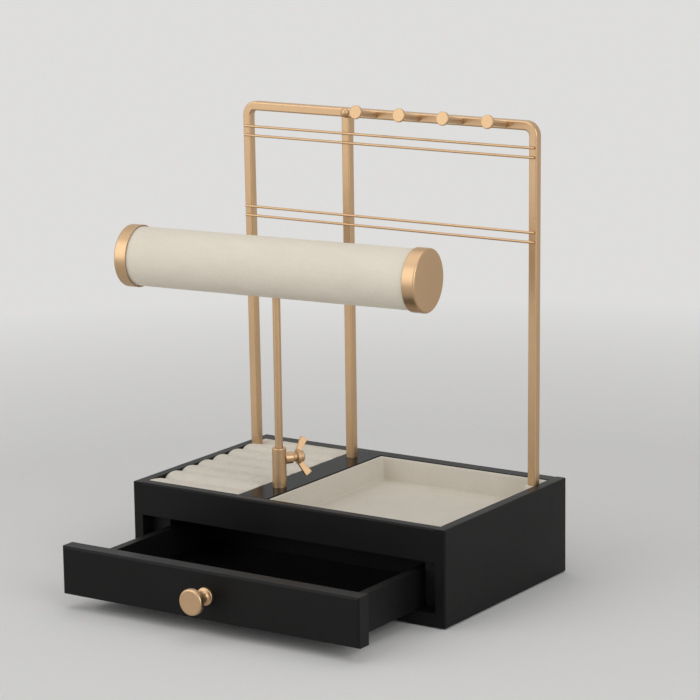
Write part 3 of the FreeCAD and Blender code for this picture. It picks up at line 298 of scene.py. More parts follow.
class Finish:
    """A material with one Principled shader, and short calls for the nodes that drive it."""

    def __init__(self, name, **sockets):
        self.material = bpy.data.materials.new(name)
        self.material.use_nodes = True
        self.nodes = self.material.node_tree.nodes
        self.links = self.material.node_tree.links
        self.nodes.clear()
        self.shader = self.nodes.new("ShaderNodeBsdfPrincipled")
        out = self.nodes.new("ShaderNodeOutputMaterial")
        self.links.new(self.shader.outputs["BSDF"], out.inputs["Surface"])
        self.place = self.nodes.new("ShaderNodeTexCoord").outputs["Object"]
        for socket, value in sockets.items():
            self.shader.inputs[socket.replace("_", " ")].default_value = value

    def put(self, socket, value):
        """Gives an input a number, a colour or another node's output."""
        if isinstance(value, bpy.types.NodeSocket):
            self.links.new(value, socket)
        elif hasattr(value, "__len__") and len(value) == 3 and socket.type == "RGBA":
            socket.default_value = (*value, 1.0)
        else:
            socket.default_value = value

    def stretch(self, scale, turn=(0, 0, 0)):
        """Object coordinates, scaled along each axis."""
        node = self.nodes.new("ShaderNodeMapping")
        self.put(node.inputs["Vector"], self.place)
        node.inputs["Scale"].default_value = scale
        node.inputs["Rotation"].default_value = turn
        return node.outputs["Vector"]

    def noise(self, scale, detail=2.0, rough=0.5, bend=0.0, vector=None):
        """Cloudy grey from 0 to 1; scale is in features to the metre."""
        node = self.nodes.new("ShaderNodeTexNoise")
        self.put(node.inputs["Vector"], vector or self.place)
        for socket, value in (("Scale", scale), ("Detail", detail), ("Roughness", rough),
                              ("Distortion", bend)):
            node.inputs[socket].default_value = value
        return node.outputs["Fac"]

    def cells(self, scale):
        """Distance within round cells; scale is in cells to the metre."""
        node = self.nodes.new("ShaderNodeTexVoronoi")
        self.put(node.inputs["Vector"], self.place)
        node.inputs["Scale"].default_value = scale
        return node.outputs["Distance"]

    def spread(self, value, low, high, to_low=0.0, to_high=1.0):
        """Value mapped from one range to another and kept inside it."""
        node = self.nodes.new("ShaderNodeMapRange")
        self.put(node.inputs["Value"], value)
        for socket, number in (("From Min", low), ("From Max", high), ("To Min", to_low),
                               ("To Max", to_high)):
            node.inputs[socket].default_value = number
        return node.outputs["Result"]

    def maths(self, kind, first, second):
        """Two values put together by a kind of sum."""
        node = self.nodes.new("ShaderNodeMath")
        node.operation = kind
        self.put(node.inputs[0], first)
        self.put(node.inputs[1], second)
        return node.outputs["Value"]

    def mix(self, share, first, second):
        """Colour between two colours."""
        node = self.nodes.new("ShaderNodeMix")
        node.data_type = "RGBA"
        self.put(node.inputs[0], share)
        self.put(node.inputs[6], first)
        self.put(node.inputs[7], second)
        return node.outputs[2]

    def eased(self, radius):
        """Normal with its edges eased over radius metres, and a mask that is 1 on those edges.

        The mask rises as the cosine between the eased and the true normal falls from 0.99 to 0.8.
        """
        node = self.nodes.new("ShaderNodeBevel")
        node.samples = 6
        node.inputs["Radius"].default_value = radius
        flat = self.nodes.new("ShaderNodeNewGeometry")
        dot = self.nodes.new("ShaderNodeVectorMath")
        dot.operation = "DOT_PRODUCT"
        self.put(dot.inputs[0], node.outputs["Normal"])
        self.put(dot.inputs[1], flat.outputs["Normal"])
        return node.outputs["Normal"], self.spread(dot.outputs["Value"], 0.99, 0.8)

    def bump(self, height, depth, normal=None):
        """Small relief of that depth in metres."""
        node = self.nodes.new("ShaderNodeBump")
        node.inputs["Strength"].default_value = 1.0
        node.inputs["Distance"].default_value = depth
        self.put(node.inputs["Height"], height)
        if normal:
            self.put(node.inputs["Normal"], normal)
        return node.outputs["Normal"]

    def done(self, colour, roughness, normal):
        """The material, with its colour, roughness and relief in place."""
        self.put(self.shader.inputs["Base Color"], colour)
        self.put(self.shader.inputs["Roughness"], roughness)
        self.put(self.shader.inputs["Normal"], normal)
        return self.material


def shade(colour, factor):
    """The colour made lighter or darker, kept below white."""
    return tuple(min(1.0, channel * factor) for channel in colour[:3])


def satin_lacquer(colour, roughness, name="satin black lacquer", ior=1.24):
    """Sprayed satin lacquer on board: faint orange peel, cloudy gloss, nicks, and wear plus a
    painted highlight on the edges.
    """
    paint = Finish(name, IOR=ior)
    normal, edge = paint.eased(0.00035)
    cloud = paint.noise(11, 4, 0.55)
    smears = paint.noise(38, 4, 0.6, bend=0.7)
    nicks = paint.spread(paint.noise(210, 3, 0.6), 0.5, 0.66)
    # Edges lightened and broken up by the nicks: partly wear, partly a painted highlight along the
    # edges.
    wear_and_painted_highlight = paint.maths("MULTIPLY", edge, paint.spread(nicks, 0, 1, 0.25, 1.0))
    tone = paint.mix(cloud, shade(colour, 0.75), shade(colour, 1.3))
    tone = paint.mix(wear_and_painted_highlight, tone, shade(colour, 2.4))
    dust = paint.spread(paint.cells(380), 0.045, 0.02, 0, 0.35)
    tone = paint.mix(dust, tone, shade(colour, 4))
    rough = paint.maths("ADD", paint.spread(cloud, 0.3, 0.7, roughness - 0.05, roughness + 0.06),
                        paint.spread(smears, 0.55, 0.75, 0, 0.05))
    peel = paint.bump(paint.noise(430, 2, 0.5), 0.00006, normal)
    relief = paint.bump(paint.noise(1900, 1, 0.5), 0.00001, peel)
    return paint.done(tone, rough, relief)


def gloss_black(colour):
    """Polished black board: nearly a mirror, with faint wiping marks."""
    paint = Finish("gloss black board", Specular_IOR_Level=0.5)
    haze = paint.noise(23, 5, 0.6, bend=0.6)
    wipes = paint.noise(34, 4, 0.7, vector=paint.stretch((1, 7, 1), (0, 0, 0.5)))
    tone = paint.mix(haze, shade(colour, 0.6), shade(colour, 1.2))
    rough = paint.maths("ADD", paint.spread(haze, 0.35, 0.7, 0.05, 0.12),
                        paint.spread(wipes, 0.5, 0.75, 0, 0.1))
    return paint.done(tone, rough, paint.bump(paint.noise(160, 2), 0.00002))


def matt_black(colour):
    """Matt stained board inside the case, with the grain of pressed fibre and a painted highlight
    on its edges.
    """
    paint = Finish("matt black board", Specular_IOR_Level=0.25)
    normal, edge = paint.eased(0.0005)
    fibre = paint.noise(700, 4, 0.7, vector=paint.stretch((1, 0.35, 1)))
    cloud = paint.noise(15, 3)
    tone = paint.mix(cloud, shade(colour, 0.8), shade(colour, 1.4))
    # Painted highlight: the edges are lightened.
    tone = paint.mix(edge, tone, shade(colour, 2.2))
    rough = paint.spread(fibre, 0.3, 0.7, 0.5, 0.72)
    return paint.done(tone, rough, paint.bump(fibre, 0.00008, normal))


def champagne_plate(colour, roughness, name, grain, bar=None):
    """Satin champagne-gold plating: fine drawn grain, cloudy sheen, wear plus a painted highlight
    on the edges, and dull spots.

    bar is a pair of heights between which the grain turns from the given way to along x.
    """
    metal = Finish(name, Metallic=1.0)
    normal, edge = metal.eased(0.0006)
    cloud = metal.noise(26, 4, 0.6)
    fine = (1100, 3, 0.55)
    drawn = metal.noise(*fine, vector=metal.stretch(grain))
    if bar:
        level = metal.nodes.new("ShaderNodeSeparateXYZ")
        metal.put(level.inputs[0], metal.place)
        share = metal.spread(level.outputs["Z"], *bar)
        along = metal.noise(*fine, vector=metal.stretch((0.1, 1, 1)))
        along = metal.maths("MULTIPLY", along, share)
        upright = metal.maths("MULTIPLY", drawn, metal.maths("SUBTRACT", 1.0, share))
        drawn = metal.maths("ADD", along, upright)
    tone = metal.mix(cloud, shade(colour, 0.95), shade(colour, 1.05))
    tone = metal.mix(metal.spread(metal.noise(70, 4, 0.6), 0.55, 0.8, 0, 0.14), tone,
                     shade((colour[0], colour[1] * 0.93, colour[2] * 0.82), 0.85))
    # Edges lightened: partly wear, partly a painted highlight along them.
    tone = metal.mix(metal.maths("MULTIPLY", edge, 0.5), tone, shade(colour, 1.3))
    rough = metal.maths("ADD", metal.spread(cloud, 0.3, 0.7, roughness - 0.03, roughness + 0.04),
                        metal.spread(drawn, 0.3, 0.75, -0.015, 0.03))
    return metal.done(tone, rough, metal.bump(drawn, 0.0000035, normal))


def velvet(name, colour, nap, lift=1.0):
    """Short-pile velvet: brushed patches, single fibres, a soft sheen at its edges."""
    cloth = Finish(name, Specular_IOR_Level=0.12, Sheen_Weight=0.32, Sheen_Roughness=0.42)
    cloth.shader.inputs["Sheen Tint"].default_value = (*shade(colour, 1.35), 1.0)
    brushed = cloth.noise(30, 4, 0.6, bend=0.8, vector=cloth.stretch(nap))
    pile = cloth.noise(1500, 2, 0.6)
    tuft = cloth.noise(420, 3, 0.6)
    tone = cloth.mix(cloth.spread(brushed, 0.3, 0.72), shade(colour, 0.96), shade(colour, 1.03))
    tone = cloth.mix(cloth.spread(pile, 0.35, 0.7, 0, 0.4), tone, shade(colour, 0.82))
    tone = cloth.mix(cloth.spread(tuft, 0.58, 0.8, 0, 0.35), tone, shade(colour, 1.1))
    relief = cloth.bump(tuft, 0.00012 * lift, cloth.bump(pile, 0.00007 * lift))
    return cloth.done(tone, cloth.spread(tuft, 0.2, 0.8, 0.82, 0.98), relief)


def felt(colour):
    """Pressed felt: matted fibres in every direction."""
    cloth = Finish("black felt", Specular_IOR_Level=0.1, Sheen_Weight=0.25, Sheen_Roughness=0.6)
    fibre = cloth.maths("ADD", cloth.noise(380, 5, 0.7, bend=2.5),
                        cloth.spread(cloth.cells(240), 0, 1, 0, 0.3))
    tone = cloth.mix(cloth.spread(fibre, 0.4, 0.9), shade(colour, 0.6), shade(colour, 2.0))
    return cloth.done(tone, 0.96, cloth.bump(fibre, 0.0002))


def card(colour):
    """Wound grey card of the roll's core: layered bands and flecks."""
    board = Finish("grey card", Specular_IOR_Level=0.2)
    fleck = board.noise(520, 4, 0.7)
    band = board.noise(40, 2, vector=board.stretch((6, 1, 1), (0, 0, 0.5)))
    tone = board.mix(band, shade(colour, 0.9), shade(colour, 1.1))
    tone = board.mix(board.spread(fleck, 0.6, 0.8, 0, 0.6), tone, shade(colour, 0.6))
    return board.done(tone, 0.9, board.bump(fleck, 0.00006))


def bare_wood(colour):
    """Turned pale wood: long grain, growth lines and pores."""
    wood = Finish("pale turned wood", Specular_IOR_Level=0.3)
    grain = wood.noise(26, 5, 0.6, bend=0.5, vector=wood.stretch((1.5, 9, 9)))
    pore = wood.noise(260, 3, 0.7, vector=wood.stretch((0.2, 1, 1)))
    tone = wood.mix(wood.spread(grain, 0.3, 0.7), shade(colour, 0.75), shade(colour, 1.1))
    tone = wood.mix(wood.spread(pore, 0.6, 0.75, 0, 0.5), tone, shade(colour, 0.45))
    return wood.done(tone, wood.spread(grain, 0, 1, 0.5, 0.65), wood.bump(pore, 0.00008))


def zinc(colour):
    """Bright zinc plating on steel fixings: crystalline haze and tool marks."""
    metal = Finish("zinc plated steel", Metallic=1.0)
    haze = metal.noise(180, 4, 0.6)
    crystal = metal.cells(420)
    tone = metal.mix(haze, shade(colour, 0.8), shade(colour, 1.1))
    tone = metal.mix(metal.spread(crystal, 0.2, 0.7, 0, 0.3), tone, shade(colour, 0.7))
    return metal.done(tone, metal.spread(haze, 0.3, 0.7, 0.28, 0.45), metal.bump(crystal, 0.00003))


def dress(nodes, finish):
    """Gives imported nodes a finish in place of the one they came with."""
    for name in nodes:
        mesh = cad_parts[name].data
        mesh.materials.clear()
        mesh.materials.append(finish)


# ---- Sizes and colours that a user may change ----

def length(name, description, default):
    """A length in metres that a user may change."""
    return bpy.props.FloatProperty(name=name, description=description, default=default,
                                   unit="LENGTH")


def swatch(name, description, default):
    """A colour that a user may change."""
    return bpy.props.FloatVectorProperty(name=name, description=description, default=default,
                                         subtype="COLOR", min=0, max=1)


class StandSizes(bpy.types.PropertyGroup):
    """Sizes of the velvet pieces, the floor and the lens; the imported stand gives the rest."""

    roll_count: bpy.props.IntProperty(
        name="Ring rolls", description="Rolls across the ring pad behind its front strip",
        default=6, min=2, max=10)
    strip_depth: length("Front strip", "Strip in front of the first roll", 0.0196)
    strip_back: length("Back strip", "Strip behind the last roll", 0.0135)
    strip_fall: length("Back strip's fall", "Run over which the back strip curves down", 0.011)
    roll_rise: length("Roll rise", "Height of a ring roll above its slots", 0.0046)
    pad_swell: length("Pad swell", "Furthest that a pad's velvet may swell", 0.0009)
    liner_wall: length("Liner wall", "Thickness of the tray liner's wall", 0.0016)
    liner_floor: length("Liner floor", "Thickness of the tray liner's floor", 0.002)
    liner_corner: length("Liner corner", "Inside corner radius of the tray liner", 0.003)
    velvet_thickness: length("Velvet thickness", "Thickness of the roll's velvet", 0.0009)
    floor_radius: length("Floor radius", "Radius of the pale floor", 4.0)
    lens: bpy.props.FloatProperty(
        name="Lens", description="Focal length of the camera on a 36 mm sensor",
        default=154.97, unit="CAMERA")


class StandColours(bpy.types.PropertyGroup):
    """Colours of the stand's finishes."""

    lacquer: swatch("Lacquer", "Satin lacquer of the case and drawer", (0.0062, 0.0061, 0.006))
    gloss: swatch("Drawer floor", "Polished board in the drawer", (0.005, 0.005, 0.005))
    inner_board: swatch("Inner boards", "Matt boards inside the case", (0.007, 0.007, 0.007))
    gold: swatch("Champagne gold", "Plating of all the metal that shows", (0.577, 0.39, 0.226))
    roll_velvet: swatch("Roll velvet", "Cream velvet of the bracelet roll", (0.78, 0.715, 0.605))
    tray_velvet: swatch("Tray velvet", "Light grey velvet of the trays", (0.69, 0.645, 0.565))
    felt: swatch("Felt", "Felt under the case", (0.012, 0.012, 0.012))
    card: swatch("Card", "Card core of the roll", (0.32, 0.31, 0.29))
    wood: swatch("Wood", "Turned wooden hub in the roll", (0.60, 0.44, 0.27))
    steel: swatch("Zinc", "Plating of the hidden fixings", (0.62, 0.63, 0.64))
    floor: swatch("Floor", "Pale floor and background", (0.73, 0.725, 0.715))


class StandOperator(bpy.types.Operator):
    """Shared parts of the stand's operators."""

    bl_options = {"REGISTER", "UNDO"}

    @property
    def sizes(self):
        return bpy.context.scene.stand_sizes

    @property
    def colours(self):
        return bpy.context.scene.stand_colours


# ---- Stage ----

class STAND_OT_stage(StandOperator):
    """Pale floor, soft lamps and the camera"""

    bl_idname = "stand.stage"
    bl_label = "Stage"

    def execute(self, context):
        scene = context.scene
        scene.view_settings.view_transform = "Standard"
        self.floor()
        self.world(scene)
        for name, place, size, power in LAMPS:
            self.lamp(name, place, size, power)
        self.camera(scene)
        return {"FINISHED"}

    def floor(self):
        """Disc of rings whose radius grows as a square, with a finish that fades at a distance."""
        around, rings = 96, 24
        angle = np.linspace(0, math.tau, around, endpoint=False)
        radius = self.sizes.floor_radius * np.linspace(0.02, 1, rings) ** 2
        points = np.stack([radius[:, None] * np.cos(angle), radius[:, None] * np.sin(angle),
                           np.full((rings, around), -FLOOR_GAP)], axis=-1)
        cap = [list(range(around))]
        mat = Finish("pale floor", Specular_IOR_Level=0.12)
        tone = tuple(self.colours.floor)
        grain = mat.noise(90, 4, 0.6)
        cloudy = mat.mix(grain, shade(tone, 0.985), shade(tone, 1.015))
        mat.done(cloudy, 0.8, mat.bump(grain, 0.0001))
        glow = mat.nodes.new("ShaderNodeEmission")
        glow.inputs["Color"].default_value = (*tone, 1)
        far = mat.nodes.new("ShaderNodeVectorMath")
        far.operation = "LENGTH"
        mat.put(far.inputs[0], mat.place)
        faded = mat.spread(far.outputs["Value"], FADE_START, FADE_END)
        blend = mat.nodes.new("ShaderNodeMixShader")
        mat.put(blend.inputs[0], mat.maths("MULTIPLY", pale_rays(mat.nodes, mat.links), faded))
        mat.put(blend.inputs[1], mat.shader.outputs["BSDF"])
        mat.put(blend.inputs[2], glow.outputs[0])
        out = next(node for node in mat.nodes if node.type == "OUTPUT_MATERIAL")
        mat.put(out.inputs["Surface"], blend.outputs[0])
        floor = new_piece("floor", points, [quads(rings, around, around=True), cap], mat.material)
        if floor.data.polygons[0].normal.z < 0:
            floor.data.flip_normals()

    def world(self, scene):
        """Even light; the camera and mirror rays see the pale background itself."""
        scene.world = bpy.data.worlds.new("studio")
        scene.world.use_nodes = True
        nodes, links = scene.world.node_tree.nodes, scene.world.node_tree.links
        nodes.clear()
        light, view = nodes.new("ShaderNodeBackground"), nodes.new("ShaderNodeBackground")
        light.inputs["Color"].default_value = (1, 1, 1, 1)
        light.inputs["Strength"].default_value = AMBIENT
        view.inputs["Color"].default_value = (*self.colours.floor, 1)
        view.inputs["Strength"].default_value = 1.0
        mix, out = nodes.new("ShaderNodeMixShader"), nodes.new("ShaderNodeOutputWorld")
        links.new(pale_rays(nodes, links), mix.inputs[0])
        links.new(light.outputs[0], mix.inputs[1])
        links.new(view.outputs[0], mix.inputs[2])
        links.new(mix.outputs[0], out.inputs["Surface"])

    def lamp(self, name, place, size, power):
        """Soft box that faces the middle of the stand."""
        data = bpy.data.lights.new(name, "AREA")
        data.shape, data.size, data.size_y, data.energy = "RECTANGLE", *size, power
        lamp = bpy.data.objects.new(name, data)
        turn = (Vector(LAMPS_AIM) - Vector(place)).to_track_quat("-Z", "Y").to_matrix()
        lamp.matrix_world = Matrix.Translation(place) @ turn.to_4x4()
        bpy.context.scene.collection.objects.link(lamp)

    def camera(self, scene):
        """A long lens from the front right, a little above the stand."""
        data = bpy.data.cameras.new("camera")
        data.sensor_width, data.lens = 36.0, self.sizes.lens
        data.clip_start, data.clip_end = 0.05, 50.0
        camera = bpy.data.objects.new("camera", data)
        camera.matrix_world = Matrix.Translation(CAMERA_PLACE) @ Matrix(CAMERA_TURN).to_4x4()
        scene.collection.objects.link(camera)
        scene.camera = camera


# ---- Hard pieces ----

class STAND_OT_case(StandOperator):
    """Satin lacquer on the case, its divider and the drawer, and matt board inside"""

    bl_idname = "stand.case"
    bl_label = "Case and drawer boards"

    def execute(self, context):
        lacquer = self.colours.lacquer
        dress(CASE_BOARDS + DRAWER_BOARDS, satin_lacquer(lacquer, roughness=0.42))
        polished = satin_lacquer(lacquer, roughness=0.15, name="polished black lacquer", ior=1.1)
        dress(("tray_divider",), polished)
        dress(("drawer_bottom",), gloss_black(self.colours.gloss))
        dress(HIDDEN_BOARDS, matt_black(self.colours.inner_board))
        return {"FINISHED"}


class STAND_OT_metal(StandOperator):
    """Champagne-gold plating on the frame, hooks, wing screw, bracelet bar, caps and knob"""

    bl_idname = "stand.metal"
    bl_label = "Gold metalwork"

    def execute(self, context):
        top = corners_of("frame_hoop")[1][2]
        for nodes, part, roughness, grain in PLATED:
            bar = [top - depth for depth in GRAIN_TURN] if "frame_hoop" in nodes else None
            name = f"champagne gold, {part}"
            dress(nodes, champagne_plate(self.colours.gold, roughness, name, grain, bar))
        return {"FINISHED"}


class STAND_OT_fixings(StandOperator):
    """Zinc on the hidden inserts and screws, wood and card inside the roll"""

    bl_idname = "stand.fixings"
    bl_label = "Hidden fixings and core"

    def execute(self, context):
        dress(STEEL_FIXINGS, zinc(self.colours.steel))
        dress(("roll_core",), card(self.colours.card))
        dress(("roll_hub",), bare_wood(self.colours.wood))
        return {"FINISHED"}


# ---- Soft pieces ----

class STAND_OT_ring_pad(StandOperator):
    """Velvet ring pad: a row of rolls with tight slots between them and a strip at both ends"""

    bl_idname = "stand.ring_pad"
    bl_label = "Ring pad"

    def execute(self, context):
        low, high = corners_of("ring_pad")
        post_low, post_high = corners_of("frame_hoop")
        points, faces, free = self.surface(low, high, post_low, post_high)
        shaped = swell(points, faces, free, push=9.0, limit=self.sizes.pad_swell, slack=0.012)
        over = np.array([0, 0, 0.0004])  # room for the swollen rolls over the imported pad
        shaped = np.clip(shaped, low, high + over)
        finish = velvet("grey velvet of the ring pad", self.colours.tray_velvet, (1, 2.2, 1))
        piece = new_piece("ring_pad_velvet", shaped, faces, finish, smooth=55)
        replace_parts(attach(piece, "case"), "ring_pad")
        return {"FINISHED"}

    def surface(self, low, high, post_low, post_high):
        """Closed pad over x and y.

        The height above a slot is rise * (1 - |t|^2.2)^0.6 over a roll, where t runs from -1 to 1
        across it, (rise - 0.3 mm) * (1 - t^1.8)^0.8 over the front strip, where t runs from 0 at
        its front to 1 at its slot, and (rise - 0.3 mm) * (1 - t^2.2)^0.7 over the back strip's
        fall. Ripples of 0.18 mm are added. Near the outline the top turns down as a quarter
        ellipse, and at the left post the outline steps in. Skirts and a flat bottom close it.
        """
        sizes = self.sizes
        across, per_roll, strip_rows, skirt_rows = 70, 22, 20, 10
        rolls, rise = sizes.roll_count, sizes.roll_rise
        first, last = low[1] + sizes.strip_depth, high[1] - sizes.strip_back
        pitch = (last - first) / rolls

        # Rows of points from front to back, closer together near each slot, and their height above
        # the slots as a share of the rise. The strips stay lower than the rolls.
        t = (0.55 * np.cos(np.linspace(math.pi, 0, per_roll + 1))
             + 0.45 * np.linspace(-1, 1, per_roll + 1))
        ease = 0.5 - 0.5 * np.cos(np.linspace(0, math.pi, strip_rows + 1))
        strip_lower = 0.0003
        level = (rise - strip_lower) / rise
        rows = [low[1] + sizes.strip_depth * ease[:-1]]
        lift = [level * (1 - ease[:-1] ** 1.8) ** 0.8]
        for index in range(rolls):
            rows.append((first + index * pitch + (t + 1) / 2 * pitch)[:-1])
            lift.append(((1 - np.abs(t) ** 2.2) ** 0.6)[:-1])
        rows.append(last + sizes.strip_back * ease)
        fall = np.clip(1 - sizes.strip_back * ease / sizes.strip_fall, 0, 1)
        lift.append(level * (1 - fall ** 2.2) ** 0.7)
        plan, bulge = np.concatenate(rows), np.concatenate(lift)

        # The left edge steps in round the post, between two pairs of rows 0.3 mm apart.
        foot, head, step = post_low[1] - POST_ENDS, post_high[1] + POST_ENDS, 0.0003
        y = np.sort(np.append(plan, [foot - step, foot, head, head + step]))
        profile = np.interp(y, plan, bulge)
        tube = post_high[1] - post_low[1]
        notch = ((post_low[0] + tube + POST_SIDE - low[0])
                 * (smoothstep(y, foot - step, foot) - smoothstep(y, head, head + step)))
        left = low[0] + notch
        u = np.linspace(0, 1, across)
        u = 0.5 * u + 0.5 * (0.5 - 0.5 * np.cos(math.pi * u))
        x = left[:, None] + u[None, :] * (high[0] - low[0] - notch)[:, None]
        deep = np.broadcast_to(y[:, None], x.shape)
        top = np.broadcast_to((high[2] - rise + rise * profile)[:, None], x.shape)
        gap_x = np.minimum(x - left[:, None], high[0] - x)
        gap_y = np.minimum(deep - low[1], high[1] - deep)
        edge_run, edge_drop = 0.0006, 0.0005
        for gap in (gap_x, gap_y):
            share = np.clip(1 - gap / edge_run, 0, 1)
            top = top - edge_drop * (1 - np.sqrt(1 - share ** 2 * 0.98))
        wave_depth, wave_run = 0.00018, 0.08
        wavy = wave_depth * ripple((x - low[0]) / wave_run, deep / wave_run, seed=4, waves=12,
                                   finest=7.0)
        top = top + wavy * smoothstep(gap_x, 0.001, 0.006)

        # Skirts hang from the outline to the flat bottom.
        points = [np.stack([x, deep, top], axis=-1).reshape(-1, 3)]
        faces = [quads(*x.shape)]
        count = x.size
        index = np.arange(count).reshape(x.shape)
        border = np.concatenate([index[0, :-1], index[:-1, -1], index[-1, :0:-1], index[:0:-1, 0]])
        rim = points[0][border]
        share = np.linspace(0, 1, skirt_rows + 1)[1:, None, None]
        flat, upward = np.array([1, 1, 0]), np.array([0, 0, 1])
        skirt = rim[None] * flat + upward * (rim[None] * (1 - share) + low * share)
        points.append(skirt.reshape(-1, 3))
        ring = len(border)
        around = np.arange(ring)
        hem = np.stack([border, np.roll(border, -1), count + (around + 1) % ring, count + around],
                       axis=-1)
        faces.append(hem[:, ::-1])
        faces.append(quads(skirt_rows, ring, count, around=True, flip=True))
        points.append(np.stack([x, deep, np.full(x.shape, low[2])], axis=-1).reshape(-1, 3))
        faces.append(quads(*x.shape, count + skirt_rows * ring, flip=True))
        everything = np.concatenate(points)

        # Cloth may swell on the rolls, but not in the slots or near the outline.
        held = 0.0014
        free = np.zeros(len(everything), bool)
        free[:count] = ((gap_x > held) & (gap_y > held) & (profile > 0.3)[:, None]).reshape(-1)
        return everything, faces, free


class STAND_OT_tray_liner(StandOperator):
    """Velvet-lined tray: thin crisp walls and a softly padded floor"""

    bl_idname = "stand.tray_liner"
    bl_label = "Tray liner"

    def execute(self, context):
        low, high = corners_of("tray_liner")
        post_low, post_high = corners_of("frame_hoop")
        points, faces, free = self.surface(low, high, post_low, post_high)
        shaped = swell(points, faces, free, push=0.1, limit=self.sizes.pad_swell)
        finish = velvet("grey velvet of the tray", self.colours.tray_velvet, (1.4, 1, 1), 0.8)
        shaped = np.clip(shaped, low, high)
        piece = new_piece("tray_liner_velvet", shaped, faces, finish, smooth=50)
        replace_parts(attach(piece, "case"), "tray_liner")
        return {"FINISHED"}

    def surface(self, low, high, post_low, post_high):
        """Profile carried round the tray's outline, closed by two filled grids.

        The profile climbs the outside, turns over a half-round rim, drops down the inside and
        sweeps into the floor on a quarter circle. The floor rises by 0.5 mm * (1 - e^(-d / 6 mm)),
        where d is the distance from the wall, with ripples of 0.12 mm on it. The inside of the
        walls waves by up to 0.06 mm, 23 times round the outline.
        """
        wall, thick, corner = self.sizes.liner_wall, self.sizes.liner_floor, self.sizes.liner_corner
        tube = post_high[1] - post_low[1]
        notch = (high[0] - (post_high[0] - tube) + POST_SIDE, post_low[1] - POST_ENDS,
                 post_high[1] + POST_ENDS)
        floor_z, sweep, outer_radius = low[2] + thick, 0.0011, 0.0008

        # Profile as pairs of inset and height.
        wall_top, wall_foot = high[2] - wall / 2, floor_z + sweep
        profile = [(0.0003, low[2]), (0.0, low[2] + 0.0004)]
        profile += [(0.0, low[2] + share * (high[2] - low[2] - wall / 2))
                    for share in (0.3, 0.6, 0.9)]
        profile += [(wall / 2 * (1 - math.cos(a)), wall_top + wall / 2 * math.sin(a))
                    for a in np.linspace(0, math.pi, 9)]
        profile += [(wall, wall_top + share * (wall_foot - wall_top))
                    for share in np.linspace(0.08, 1, 12)]
        profile += [(wall + sweep * (1 - math.cos(a)), floor_z + sweep * (1 - math.sin(a)))
                    for a in np.linspace(math.pi / 12, math.pi / 2, 6)]

        # The inside of the walls waves a little, most at half height.
        wave_depth, waves = 0.00012, 23
        middle = (low[:2] + high[:2]) / 2
        loops, sides = [], None
        for inset, height in profile:
            radius = (outer_radius + (corner - outer_radius) * smoothstep(inset, 0.0006, wall)
                      - max(0, inset - wall))
            outline, sides = path(low, high, inset, radius, notch)
            if inset > wall * 0.99:
                along = np.linspace(0, 1, len(outline), endpoint=False)
                share = np.sin(math.pi * (height - floor_z) / (high[2] - floor_z))
                wave = wave_depth * np.sin(math.tau * waves * along) * share
                outline = outline + wave[:, None] * np.sign(outline - middle) * 0.5
            loops.append(np.column_stack([outline, np.full(len(outline), height)]))
        points = [np.concatenate(loops)]
        faces = [quads(len(loops), len(loops[0]), around=True)]
        count = len(points[0])

        # Padded floor inside, and the flat bottom under it.
        inner = fill(loops[-1][:, :2], sides)
        flat = inner.reshape(-1, 2)
        gap = edge_distance(flat, loops[-1][:, :2])
        pad_depth, pad_run, ripple_depth, ripple_run = 0.0005, 0.006, 0.00012, 0.15
        across, along = ((flat[:, axis] - low[axis]) / ripple_run for axis in (0, 1))
        rise = pad_depth * (1 - np.exp(-gap / pad_run))
        rise += ripple_depth * ripple(across, along, seed=9) * smoothstep(gap, 0, 0.01)
        points.append(np.column_stack([flat, floor_z + rise]))
        faces.append(quads(*inner.shape[:2], count))
        under = fill(loops[0][:, :2], sides)
        below = under.reshape(-1, 2)
        points.append(np.column_stack([below, np.full(len(below), low[2])]))
        faces.append(quads(*under.shape[:2], count + len(flat), flip=True))
        everything = np.concatenate(points)
        free = np.zeros(len(everything), bool)
        free[count:count + len(flat)] = gap > 0.002
        return everything, faces, free


